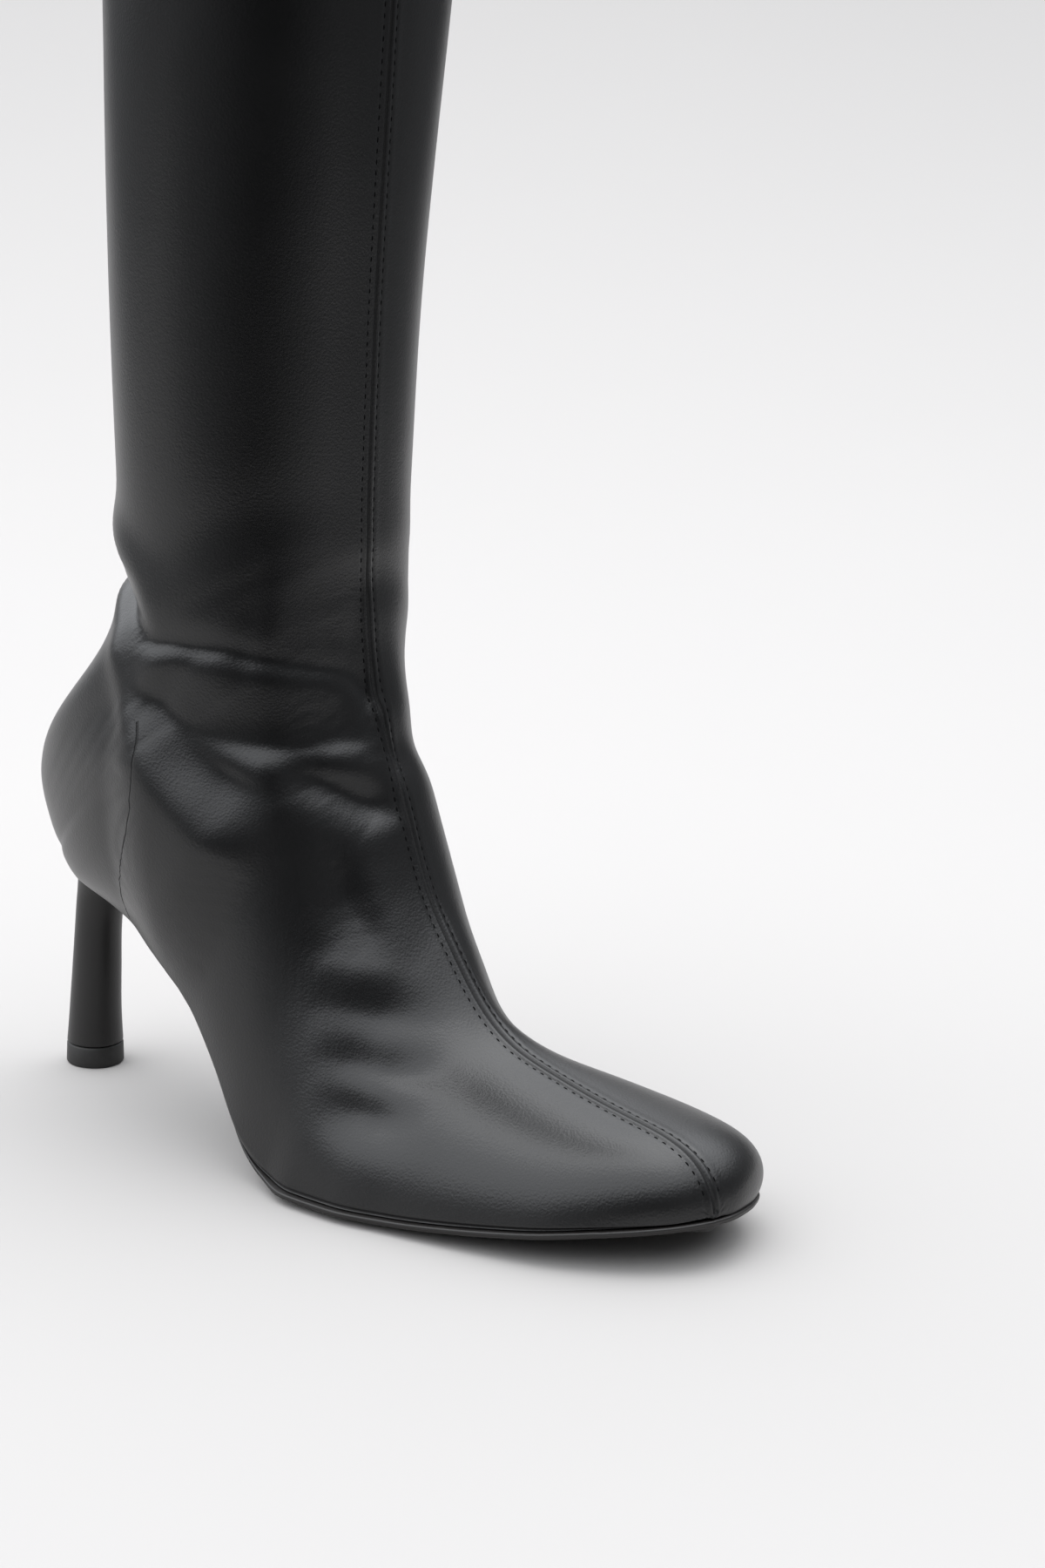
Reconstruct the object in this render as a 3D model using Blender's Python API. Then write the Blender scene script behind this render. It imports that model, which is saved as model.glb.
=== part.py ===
"""Stretch boot, right foot: a soft upper with foot and shaft in one, insole, thin outsole, slim heel, top lift.

Metres, +Z up, +X to the toe, +Y to the wearer's left; the origin is on the floor under the heel's centre.
"""

import math
from collections import namedtuple

import bpy
import numpy as np

for old in list(bpy.data.objects):
    bpy.data.objects.remove(old, do_unlink=True)

MM = 0.001
LENGTH = 211.5  # heel centre to the end of the front seam at the toe, millimetres
BALL_OUT = 40.5  # half width at the ball, outer side
BALL_IN = 40.5  # half width at the ball, inner side
HEEL_HEIGHT = 64.3  # seat above the floor
INSTEP = 94.0  # top of the instep above the floor
SHAFT_TOP = 455.0  # collar above the floor
WALL = 1.5  # stretch skin with its lining
GAP = 0.3  # between pieces that touch
SOLE_FRONT = 3.3  # outsole under the forefoot
SOLE_WAIST = 2.0  # outsole under the waist and the seat
SOLE_REACH = 2.3  # outsole past the last at the forefoot
SOLE_TUCK = -0.2  # outsole against the last at the waist
INSOLE_THICK = 1.8
INSOLE_INSET = 2.6  # insole edge inside the last's lower edge
LIFT_THICK = 6.0
SEAM_HALF = 4.4  # half width of the stitched-down band along the front seam
SEAM_RISE = 0.4  # height of that band
SIDE_COLUMNS = 15  # columns from the front seam to the lower edge, on each side
ROW_STEP = 8.0  # longest step between rows

Section = namedtuple(
    "Section", "name low_x low_z front_x front_z front_y skew foot_out foot_in mid_out mid_in"
)
# One row per section of the last and the leg, from the toe to the collar. low is where the section stands on
# the sole or on the back line, front is where it meets the front seam; skew turns it in plan so that it follows
# the line of the ball. foot is the half width at the lower edge, mid the half width half way up.
SECTIONS = [
    Section("toe tip", LENGTH, 12.9, LENGTH, 12.9, 1.0, 20.0, 0.0, 0.0, 0.0, 0.0),
    Section("toe rim", 211.0, 12.8, 211.6, 17.0, 0.8, 20.0, 5.6, 5.6, 5.6, 5.6),
    Section("toe front", 209.3, 12.5, 209.4, 21.4, 0.8, 20.0, 10.2, 10.2, 10.4, 10.4),
    Section("toe cap", 205.0, 11.8, 204.4, 25.4, 1.0, 19.5, 16.0, 17.8, 16.2, 18.2),
    Section("toe top", 198.4, 10.6, 196.5, 28.0, 1.2, 19.0, 22.0, 26.5, 21.8, 26.0),
    Section("toes", 189.0, 8.8, 186.2, 29.6, 1.4, 18.0, 27.5, 33.0, 26.6, 31.0),
    Section("toe base", 178.0, 7.1, 175.0, 31.6, 1.6, 17.0, 31.0, 37.0, 29.5, 32.5),
    Section("vamp", 164.0, 5.2, 161.5, 34.6, 2.0, 16.0, 34.5, 39.5, 32.0, 31.0),
    Section("vamp back", 150.0, 3.9, 149.8, 37.8, 2.4, 15.0, 37.5, 40.5, 34.0, 28.0),
    Section("ball", 136.0, 3.6, 140.0, 43.6, 2.8, 14.0, BALL_OUT, BALL_IN, 36.0, 25.0),
    Section("tread back", 122.0, 3.6, 132.0, 52.2, 3.0, 13.0, 40.8, 37.5, 36.5, 23.5),
    Section("waist front", 110.0, 4.6, 125.0, 61.8, 3.2, 11.0, 38.2, 34.0, 36.0, 24.5),
    Section("waist", 97.0, 10.3, 118.4, 71.4, 3.2, 9.0, 36.0, 30.0, 35.0, 26.5),
    Section("waist mid", 84.0, 24.8, 113.8, 81.6, 3.2, 7.0, 32.0, 25.5, 34.0, 28.0),
    Section("instep", 67.0, 43.3, 109.6, INSTEP, 3.2, 5.0, 28.0, 21.5, 33.0, 29.0),
    Section("seat front", 50.0, 53.6, 106.4, 105.0, 3.0, 3.5, 24.5, 20.0, 32.0, 30.0),
    Section("seat", 33.0, 58.7, 103.0, 116.0, 2.6, 2.0, 21.5, 20.0, 32.0, 31.0),
    Section("seat back", 15.0, 61.0, 99.6, 127.0, 2.2, 0.0, 17.5, 17.5, 32.0, 32.0),
    Section("seat end", 5.0, 62.6, 97.6, 135.0, 1.8, 0.0, 10.8, 10.8, 32.5, 33.5),
    Section("heel edge", 0.5, HEEL_HEIGHT, 96.6, 140.0, 1.4, 0.0, 0.0, 0.0, 33.0, 34.5),
    Section("heel low", -3.2, 71.5, 96.2, 145.0, 1.0, 0.0, 0.0, 0.0, 33.5, 35.5),
    Section("heel", -6.8, 82.0, 96.2, 149.0, 0.8, 0.0, 0.0, 0.0, 34.0, 36.0),
    Section("heel top", -4.8, 93.0, 96.6, 153.0, 0.5, 0.0, 0.0, 0.0, 34.0, 36.5),
    Section("ankle low", 3.0, 104.0, 97.2, 157.0, 0.0, 0.0, 0.0, 0.0, 34.0, 37.0),
    Section("ankle", 14.8, 116.0, 97.8, 161.0, -0.5, 0.0, 0.0, 0.0, 34.5, 37.5),
    Section("ankle top", 24.0, 128.0, 98.4, 166.0, -1.0, 0.0, 0.0, 0.0, 35.5, 38.0),
    Section("leg low", 28.3, 143.0, 99.2, 173.0, -1.5, 0.0, 0.0, 0.0, 36.3, 37.8),
    Section("leg", 27.5, 165.0, 100.6, 187.0, -2.5, 0.0, 0.0, 0.0, 37.0, 38.5),
    Section("shin", 27.5, 205.0, 103.0, 216.0, -5.0, 0.0, 0.0, 0.0, 38.0, 40.5),
    Section("calf low", 28.3, 250.0, 108.3, 255.0, -9.8, 0.0, 0.0, 0.0, 39.4, 44.2),
    Section("calf", 30.2, 305.0, 115.3, 306.0, -15.0, 0.0, 0.0, 0.0, 41.3, 48.8),
    Section("calf full", 27.5, 370.0, 120.0, 370.0, -16.5, 0.0, 0.0, 0.0, 45.0, 51.0),
    Section("calf top", 27.0, 420.0, 122.0, 420.0, -17.0, 0.0, 0.0, 0.0, 46.0, 52.0),
    Section("collar", 28.0, SHAFT_TOP, 121.5, SHAFT_TOP, -17.0, 0.0, 0.0, 0.0, 45.5, 51.5),
]
HEEL_EDGE = [row.name for row in SECTIONS].index("heel edge")

Fold = namedtuple("Fold", "name side x1 z1 x2 z2 x3 z3 rise half")
# One row per soft fold of the ankle: a bowed line through three places seen from the side, on the outer
# side (-1), the inner side (1) or both (0), how far it rises or sinks half way along, and its half width.
FOLDS = [
    Fold("shaft overhang", 0, 36.0, 168.0, 52.0, 159.0, 66.0, 147.0, 0.8, 6.0),
    Fold("ankle notch", 0, 30.0, 153.0, 46.0, 149.5, 62.0, 138.0, -6.0, 5.5),
    Fold("ankle roll", 0, 30.0, 141.0, 45.0, 139.0, 56.0, 132.0, 1.4, 5.0),
    Fold("outer smile", -1, 52.0, 120.0, 74.0, 108.0, 100.0, 112.0, 1.5, 5.0),
    Fold("outer hollow", -1, 54.0, 130.0, 78.0, 125.0, 102.0, 117.0, -2.0, 6.0),
    Fold("inner roll", 1, 101.0, 133.0, 92.0, 133.0, 74.0, 130.0, 4.2, 7.5),
    Fold("inner hollow", 1, 108.0, 117.0, 98.0, 113.0, 78.0, 110.0, -3.2, 6.0),
]


def pchip(knots, values, at):
    """Shape-keeping cubic through values at knots, for each column of values."""
    step = np.diff(knots)[:, None]
    slope = np.diff(values, axis=0) / step
    tangent = np.zeros_like(values)
    tangent[0] = slope[0]
    tangent[-1] = slope[-1]
    before, after = slope[:-1], slope[1:]
    same = before * after > 0
    w1 = 2.0 * step[1:] + step[:-1]
    w2 = step[1:] + 2.0 * step[:-1]
    safe_b = np.where(same, before, 1.0)
    safe_a = np.where(same, after, 1.0)
    tangent[1:-1] = np.where(same, (w1 + w2) / (w1 / safe_b + w2 / safe_a), 0.0)
    k = np.clip(np.searchsorted(knots, at, side="right") - 1, 0, len(knots) - 2)
    h = (knots[k + 1] - knots[k])[:, None]
    t = ((at - knots[k])[:, None]) / h
    return (
        (1 + 2 * t) * (1 - t) ** 2 * values[k]
        + t * (1 - t) ** 2 * h * tangent[k]
        + t * t * (3 - 2 * t) * values[k + 1]
        + t * t * (t - 1) * h * tangent[k + 1]
    )


def rows_of_sections():
    """The table smoothed along the boot: the rows as one array, and the row where the lower edge closes."""
    table = np.array([row[1:] for row in SECTIONS], float)
    gap_low = np.hypot(np.diff(table[:, 0]), np.diff(table[:, 1]))
    gap_front = np.hypot(np.diff(table[:, 2]), np.diff(table[:, 3]))
    length = np.maximum(0.5 * (gap_low + gap_front), 0.6 * np.maximum(gap_low, gap_front))
    knots = np.concatenate([[0.0], np.cumsum(np.sqrt(length))])
    at = [0.0]
    closing = 0
    for k, reach in enumerate(length):
        pace = 0.6 if HEEL_EDGE + 3 < k < HEEL_EDGE + 8 else 1.0 if k < HEEL_EDGE + 9 else 2.6
        steps = max(1, math.ceil(reach / (ROW_STEP * pace)))
        for i in range(steps):
            at.append(knots[k] + (knots[k + 1] - knots[k]) * (i + 1) / steps)
        if k + 1 == HEEL_EDGE:
            closing = len(at) - 1
    rows = pchip(knots, table, np.array(at))
    rows[: closing + 1, 6:8] = np.maximum(rows[: closing + 1, 6:8], 0.0)
    rows[closing:, 6:8] = 0.0
    return rows, closing


def section_side(row, side):
    """Points of one section from the front seam to the lower edge, on the outer (-1) or inner (1) side."""
    low_x, low_z, front_x, front_z, front_y, skew = row[:6]
    foot = row[6] if side < 0 else row[7]
    mid = row[8] if side < 0 else row[9]
    turn = np.linspace(0.0, math.pi, 181)
    s = 0.5 * (1.0 + np.cos(turn))
    wide = np.sqrt(np.maximum((1.0 - s) * (foot**2 + 4.0 * (mid**2 - 0.5 * foot**2) * s), 0.0))
    across = side * wide
    sin_k, cos_k = math.sin(math.radians(skew)), math.cos(math.radians(skew))
    x = low_x + (front_x - low_x) * s + across * sin_k
    y = front_y * s**0.5 + across * cos_k
    z = low_z + (front_z - low_z) * s
    line = np.stack([x, y, z], axis=1)
    run = np.concatenate([[0.0], np.cumsum(np.linalg.norm(np.diff(line, axis=0), axis=1))])
    whole = run[-1]
    band = min(1.0, 0.4 * whole / SEAM_HALF) if whole else 0.0
    inner = np.array([0.0, SEAM_HALF - 0.8, SEAM_HALF]) * band
    want = np.concatenate([inner, np.linspace(inner[-1], whole, SIDE_COLUMNS - 1)[1:]])
    return np.stack([np.interp(want, run, line[:, i]) for i in range(3)], axis=1)


def outer_grid(rows):
    """Points of the outer skin, row by row, from the outer lower edge over the front seam to the inner one."""
    grid = []
    for row in rows:
        out = section_side(row, -1.0)[::-1]
        inn = section_side(row, 1.0)[1:]
        grid.append(np.concatenate([out, inn]))
    return np.array(grid)


def grid_faces(count, width, closing):
    """Corner ids of the grid's quads, with the toe a point and the back line shared by both sides."""
    ids = np.arange(count * width).reshape(count, width)
    ids[0] = ids[0, 0]
    ids[closing:, -1] = ids[closing:, 0]
    return ids


def quads_of(ids):
    quads = []
    for i in range(len(ids) - 1):
        for j in range(ids.shape[1] - 1):
            ring = [ids[i, j], ids[i, j + 1], ids[i + 1, j + 1], ids[i + 1, j]]
            face = [v for n, v in enumerate(ring) if v != ring[n - 1]]
            if len(face) > 2:
                quads.append(face)
    return quads


def vertex_normals(points, faces):
    normal = np.zeros_like(points)
    for face in faces:
        for n in range(1, len(face) - 1):
            a, b, c = points[face[0]], points[face[n]], points[face[n + 1]]
            weight = np.cross(b - a, c - a)
            for v in (face[0], face[n], face[n + 1]):
                normal[v] += weight
    size = np.linalg.norm(normal, axis=1)
    size[size == 0.0] = 1.0
    return normal / size[:, None]


def fold_rise(grid):
    """How far each point of the outer skin is pushed out by the ankle folds."""
    columns = grid.shape[1]
    half = (columns - 1) // 2
    side_of = np.sign(np.arange(columns) - half)[None, :]
    rise = np.zeros(grid.shape[:2])
    t = np.linspace(0.0, 1.0, 25)
    for fold in FOLDS:
        mid_x = 2.0 * fold.x2 - 0.5 * (fold.x1 + fold.x3)
        mid_z = 2.0 * fold.z2 - 0.5 * (fold.z1 + fold.z3)
        line_x = (1 - t) ** 2 * fold.x1 + 2 * t * (1 - t) * mid_x + t * t * fold.x3
        line_z = (1 - t) ** 2 * fold.z1 + 2 * t * (1 - t) * mid_z + t * t * fold.z3
        away = np.hypot(grid[:, :, 0, None] - line_x, grid[:, :, 2, None] - line_z)
        strength = np.sin(math.pi * (0.12 + 0.76 * t)) * np.exp(-((away / fold.half) ** 2))
        here = (side_of == fold.side) | (fold.side == 0)
        rise += np.where(here, fold.rise * strength.max(axis=2), 0.0)
    return rise


def facing_out(points, faces):
    """The faces turned so that the closed surface they make faces out."""
    volume = 0.0
    for face in faces:
        for n in range(1, len(face) - 1):
            volume += np.dot(points[face[0]], np.cross(points[face[n]], points[face[n + 1]]))
    return faces if volume > 0.0 else [list(reversed(face)) for face in faces]


def make_object(name, points, faces, colour, roughness):
    faces = facing_out(points, faces)
    mesh = bpy.data.meshes.new(name)
    used = sorted({v for face in faces for v in face})
    index = {v: n for n, v in enumerate(used)}
    mesh.from_pydata([tuple(points[v] * MM) for v in used], [], [[index[v] for v in face] for face in faces])
    mesh.validate()
    mesh.update()
    piece = bpy.data.objects.new(name, mesh)
    bpy.context.scene.collection.objects.link(piece)
    material = bpy.data.materials.new(name)
    material.use_nodes = True
    shader = material.node_tree.nodes["Principled BSDF"]
    shader.inputs["Base Color"].default_value = (*colour, 1.0)
    shader.inputs["Roughness"].default_value = roughness
    shader.inputs["Metallic"].default_value = 0.0
    mesh.materials.append(material)
    return piece


# Upper: one hollow skin, open at the collar and along its lower edge
ROWS, CLOSING = rows_of_sections()
GRID = outer_grid(ROWS)
IDS = grid_faces(len(GRID), GRID.shape[1], CLOSING)
SKIN = quads_of(IDS)
FLAT = GRID.reshape(-1, 3).copy()
FLAT += vertex_normals(FLAT, SKIN) * fold_rise(GRID).reshape(-1)[:, None]
MIDDLE = GRID.shape[1] // 2
PUSH = vertex_normals(FLAT, SKIN)
OUTWARD = PUSH.copy()
edge_slope = np.gradient(ROWS[: CLOSING + 1, 1], ROWS[: CLOSING + 1, 0])
for i in range(CLOSING + 1):
    across_sole = np.array([-edge_slope[i], 0.0, 1.0]) / math.hypot(1.0, edge_slope[i])
    for v in {IDS[i, 0], IDS[i, -1]}:
        level = PUSH[v] - across_sole * np.dot(PUSH[v], across_sole)
        OUTWARD[v] = level / np.linalg.norm(level)
INNER = FLAT.copy()
OUTER = FLAT + OUTWARD * WALL
for i in range(2, len(GRID)):
    for j in (MIDDLE - 1, MIDDLE, MIDDLE + 1):
        OUTER[IDS[i, j]] += PUSH[IDS[i, j]] * SEAM_RISE
shift = len(OUTER)
upper_faces = list(SKIN)
upper_faces += [[v + shift for v in reversed(face)] for face in SKIN]
top = IDS[-1]
for j in range(len(top) - 1):
    upper_faces.append([top[j], top[j + 1], top[j + 1] + shift, top[j] + shift])
for i in range(CLOSING):
    a, b = IDS[i, 0], IDS[i + 1, 0]
    upper_faces.append([a, b, b + shift, a + shift])
    a, b = IDS[i, -1], IDS[i + 1, -1]
    upper_faces.append([b, a, a + shift, b + shift])
make_object("upper", np.concatenate([OUTER, INNER]), upper_faces, (0.018, 0.018, 0.020), 0.48)


# Lower edge of the upper, the outline that the outsole and the insole follow
EDGE_OUT = np.array([FLAT[IDS[i, 0]] for i in range(CLOSING + 1)])
EDGE_IN = np.array([FLAT[IDS[i, -1]] for i in range(CLOSING + 1)])


def moved_edges(reach):
    """The two edge lines moved outwards in plan by reach, a value for each row."""
    loop = np.concatenate([EDGE_OUT, EDGE_IN[-2:0:-1]])
    amount = np.concatenate([reach, reach[-2:0:-1]])
    along = np.roll(loop, -1, axis=0)[:, :2] - np.roll(loop, 1, axis=0)[:, :2]
    along /= np.linalg.norm(along, axis=1)[:, None]
    outward = np.stack([-along[:, 1], along[:, 0]], axis=1)
    middle = loop[:, :2].mean(axis=0)
    if np.sum((loop[:, :2] - middle) * outward) < 0:
        outward = -outward
    moved = loop.copy()
    moved[:, :2] += outward * amount[:, None]
    count = len(EDGE_OUT)
    side_in = np.concatenate([moved[:1], moved[count:][::-1], moved[count - 1 : count]])
    return moved[:count], side_in


def slab(name, reach, top, bottom, colour, roughness, across=6):
    """A sheet between two height lines, as wide as the moved edges."""
    side_out, side_in = moved_edges(reach)
    count = len(side_out)
    share = np.linspace(0.0, 1.0, across + 1)
    sheet = side_out[:, None, :] * (1 - share)[None, :, None] + side_in[:, None, :] * share[None, :, None]
    plain = EDGE_OUT[:, None, :] * (1 - share)[None, :, None] + EDGE_IN[:, None, :] * share[None, :, None]
    climb = EDGE_SLOPE[:, None] * (sheet[:, :, 0] - plain[:, :, 0])
    high, low = sheet.copy(), sheet.copy()
    high[:, :, 2] = top[:, None] + climb
    low[:, :, 2] = bottom[:, None] + climb
    ids = np.arange(count * (across + 1)).reshape(count, across + 1)
    ids[0] = ids[0, 0]
    ids[-1] = ids[-1, 0]
    step = count * (across + 1)
    upside = quads_of(ids)
    faces = list(upside) + [[v + step for v in reversed(face)] for face in upside]
    for i in range(count - 1):
        a, b = ids[i, 0], ids[i + 1, 0]
        faces.append([a, b, b + step, a + step])
        a, b = ids[i, -1], ids[i + 1, -1]
        faces.append([b, a, a + step, b + step])
    both = np.concatenate([high.reshape(-1, 3), low.reshape(-1, 3)])
    return make_object(name, both, faces, colour, roughness)


# Outsole: thick and proud under the forefoot, thin and tucked in at the waist and the seat
EDGE_X = ROWS[: CLOSING + 1, 0]
EDGE_Z = ROWS[: CLOSING + 1, 1]
FLAT_TREAD = (EDGE_X > 115.0) & (EDGE_X < 140.0)
EDGE_SLOPE = np.where(EDGE_X > 200.0, 0.3, 1.0) * edge_slope
EDGE_SLOPE[FLAT_TREAD] = 0.0
STEEP = np.sqrt(1.0 + EDGE_SLOPE**2)
front_share = np.clip((EDGE_X - 88.0) / (118.0 - 88.0), 0.0, 1.0)
front_share = front_share * front_share * (3.0 - 2.0 * front_share)
sole_reach = SOLE_TUCK + (SOLE_REACH - SOLE_TUCK) * front_share
sole_thick = SOLE_WAIST + (SOLE_FRONT - SOLE_WAIST) * front_share
SOLE_TOP = EDGE_Z - GAP * (STEEP + 0.6 * np.abs(EDGE_SLOPE))
SOLE_LOW = SOLE_TOP - sole_thick * STEEP
SOLE_LOW[FLAT_TREAD] = 0.0
slab("outsole", sole_reach, SOLE_TOP, SOLE_LOW, (0.022, 0.019, 0.018), 0.5)

# Insole: a thin board inside the upper, on the outsole
insole_reach = np.full(len(EDGE_X), -INSOLE_INSET)
INSOLE_TOP = EDGE_Z + INSOLE_THICK * STEEP
INSOLE_LOW = EDGE_Z + 0.5 * GAP * STEEP
slab("insole", insole_reach, INSOLE_TOP, INSOLE_LOW, (0.05, 0.045, 0.04), 0.7)


Ring = namedtuple("Ring", "name height centre_x half_x half_y")
# Heel, one row per level from the top lift to the cup under the seat
HEEL_RINGS = [
    Ring("foot", LIFT_THICK + GAP, 0.0, 7.9, 7.9),
    Ring("flare", 16.0, 0.2, 7.3, 7.3),
    Ring("stem", 28.0, 0.8, 6.9, 6.9),
    Ring("stem top", 42.0, 1.6, 6.7, 6.7),
    Ring("neck", 50.0, 2.4, 7.2, 7.2),
    Ring("cup", 56.0, 4.0, 8.6, 9.0),
]
CUP_RIM = Ring("cup rim", 0.0, 6.5, 10.0, 10.5)


def ring_points(ring, corners=32):
    turn = np.linspace(0.0, 2.0 * math.pi, corners, endpoint=False)
    x = ring.centre_x + ring.half_x * np.cos(turn)
    y = ring.half_y * np.sin(turn)
    return np.stack([x, y, np.full(corners, ring.height)], axis=1)


def lathe(name, rings, colour, roughness):
    corners = len(rings[0])
    points = np.concatenate(rings)
    faces = [list(reversed(range(corners)))]
    for level in range(len(rings) - 1):
        for n in range(corners):
            m = (n + 1) % corners
            a, b = level * corners, (level + 1) * corners
            faces.append([a + n, a + m, b + m, b + n])
    last = (len(rings) - 1) * corners
    centre = len(points)
    points = np.concatenate([points, points[last : last + corners].mean(axis=0)[None]])
    for n in range(corners):
        faces.append([last + n, last + (n + 1) % corners, centre])
    return make_object(name, points, faces, colour, roughness)


def under_sole(ring):
    """The ring's points lifted to just under the outsole."""
    order = np.argsort(EDGE_X)
    points = ring_points(ring)
    points[:, 2] = np.interp(points[:, 0], EDGE_X[order], SOLE_LOW[order]) - GAP
    return points


cup_rings = []
for share in (1.0, 0.7, 0.4, 0.1):
    half_x, half_y = CUP_RIM.half_x * share, CUP_RIM.half_y * share
    cup_rings.append(under_sole(CUP_RIM._replace(half_x=half_x, half_y=half_y)))
lathe("heel", [ring_points(ring) for ring in HEEL_RINGS] + cup_rings, (0.020, 0.017, 0.016), 0.42)

# Top lift: the wearing piece under the heel
LIFT_RINGS = [
    Ring("tread", 0.0, 0.0, 7.7, 7.7),
    Ring("side", 0.6, 0.0, 8.1, 8.1),
    Ring("top", LIFT_THICK, 0.0, 7.9, 7.9),
]
lathe("top_lift", [ring_points(ring) for ring in LIFT_RINGS], (0.012, 0.012, 0.012), 0.6)
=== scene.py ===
"""Looks of the stretch boot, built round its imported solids. Lengths are millimetres on the boot unless a
comment says metres: x from the heel to the toe, y to the wearer's left, which is the inner side, z up from
the floor."""

import math
from collections import namedtuple

import bmesh
import bpy
import numpy as np
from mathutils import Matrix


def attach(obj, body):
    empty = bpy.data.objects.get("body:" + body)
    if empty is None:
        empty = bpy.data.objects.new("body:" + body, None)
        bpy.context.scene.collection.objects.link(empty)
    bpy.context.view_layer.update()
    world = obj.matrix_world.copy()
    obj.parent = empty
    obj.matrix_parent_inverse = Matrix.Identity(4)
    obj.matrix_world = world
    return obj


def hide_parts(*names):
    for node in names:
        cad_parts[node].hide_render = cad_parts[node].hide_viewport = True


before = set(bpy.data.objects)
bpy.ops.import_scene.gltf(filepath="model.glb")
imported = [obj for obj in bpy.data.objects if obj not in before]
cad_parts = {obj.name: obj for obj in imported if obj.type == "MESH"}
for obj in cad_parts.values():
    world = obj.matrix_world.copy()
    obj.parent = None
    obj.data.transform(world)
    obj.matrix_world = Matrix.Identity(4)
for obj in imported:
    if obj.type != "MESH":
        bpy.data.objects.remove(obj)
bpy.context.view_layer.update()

# Upper: one soft skin of black stretch faux leather, foot and shaft in one, with a thin knitted backing.
# It is cut in two halves, closed down the front by a stitched seam, pulled over the last and drawn under
# the insole; where the leg bends it settles into folds.
MM = 0.001  # a millimetre in metres
WALL = 1.5
SIDE_COLUMNS = 98  # steps from the front seam to the lower edge, on each side
FOOT_STEP = 1.2  # longest step between rows of the foot and the ankle
SHAFT_STEP = 3.0
EASE_ROWS = 4.0  # how far the skin evens out the last's sections, in rows

Section = namedtuple(
    "Section",
    "name low_x low_z front_x front_z front_y skew foot_out foot_in mid_out mid_in full",
    defaults=(0.0,),
)
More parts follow.
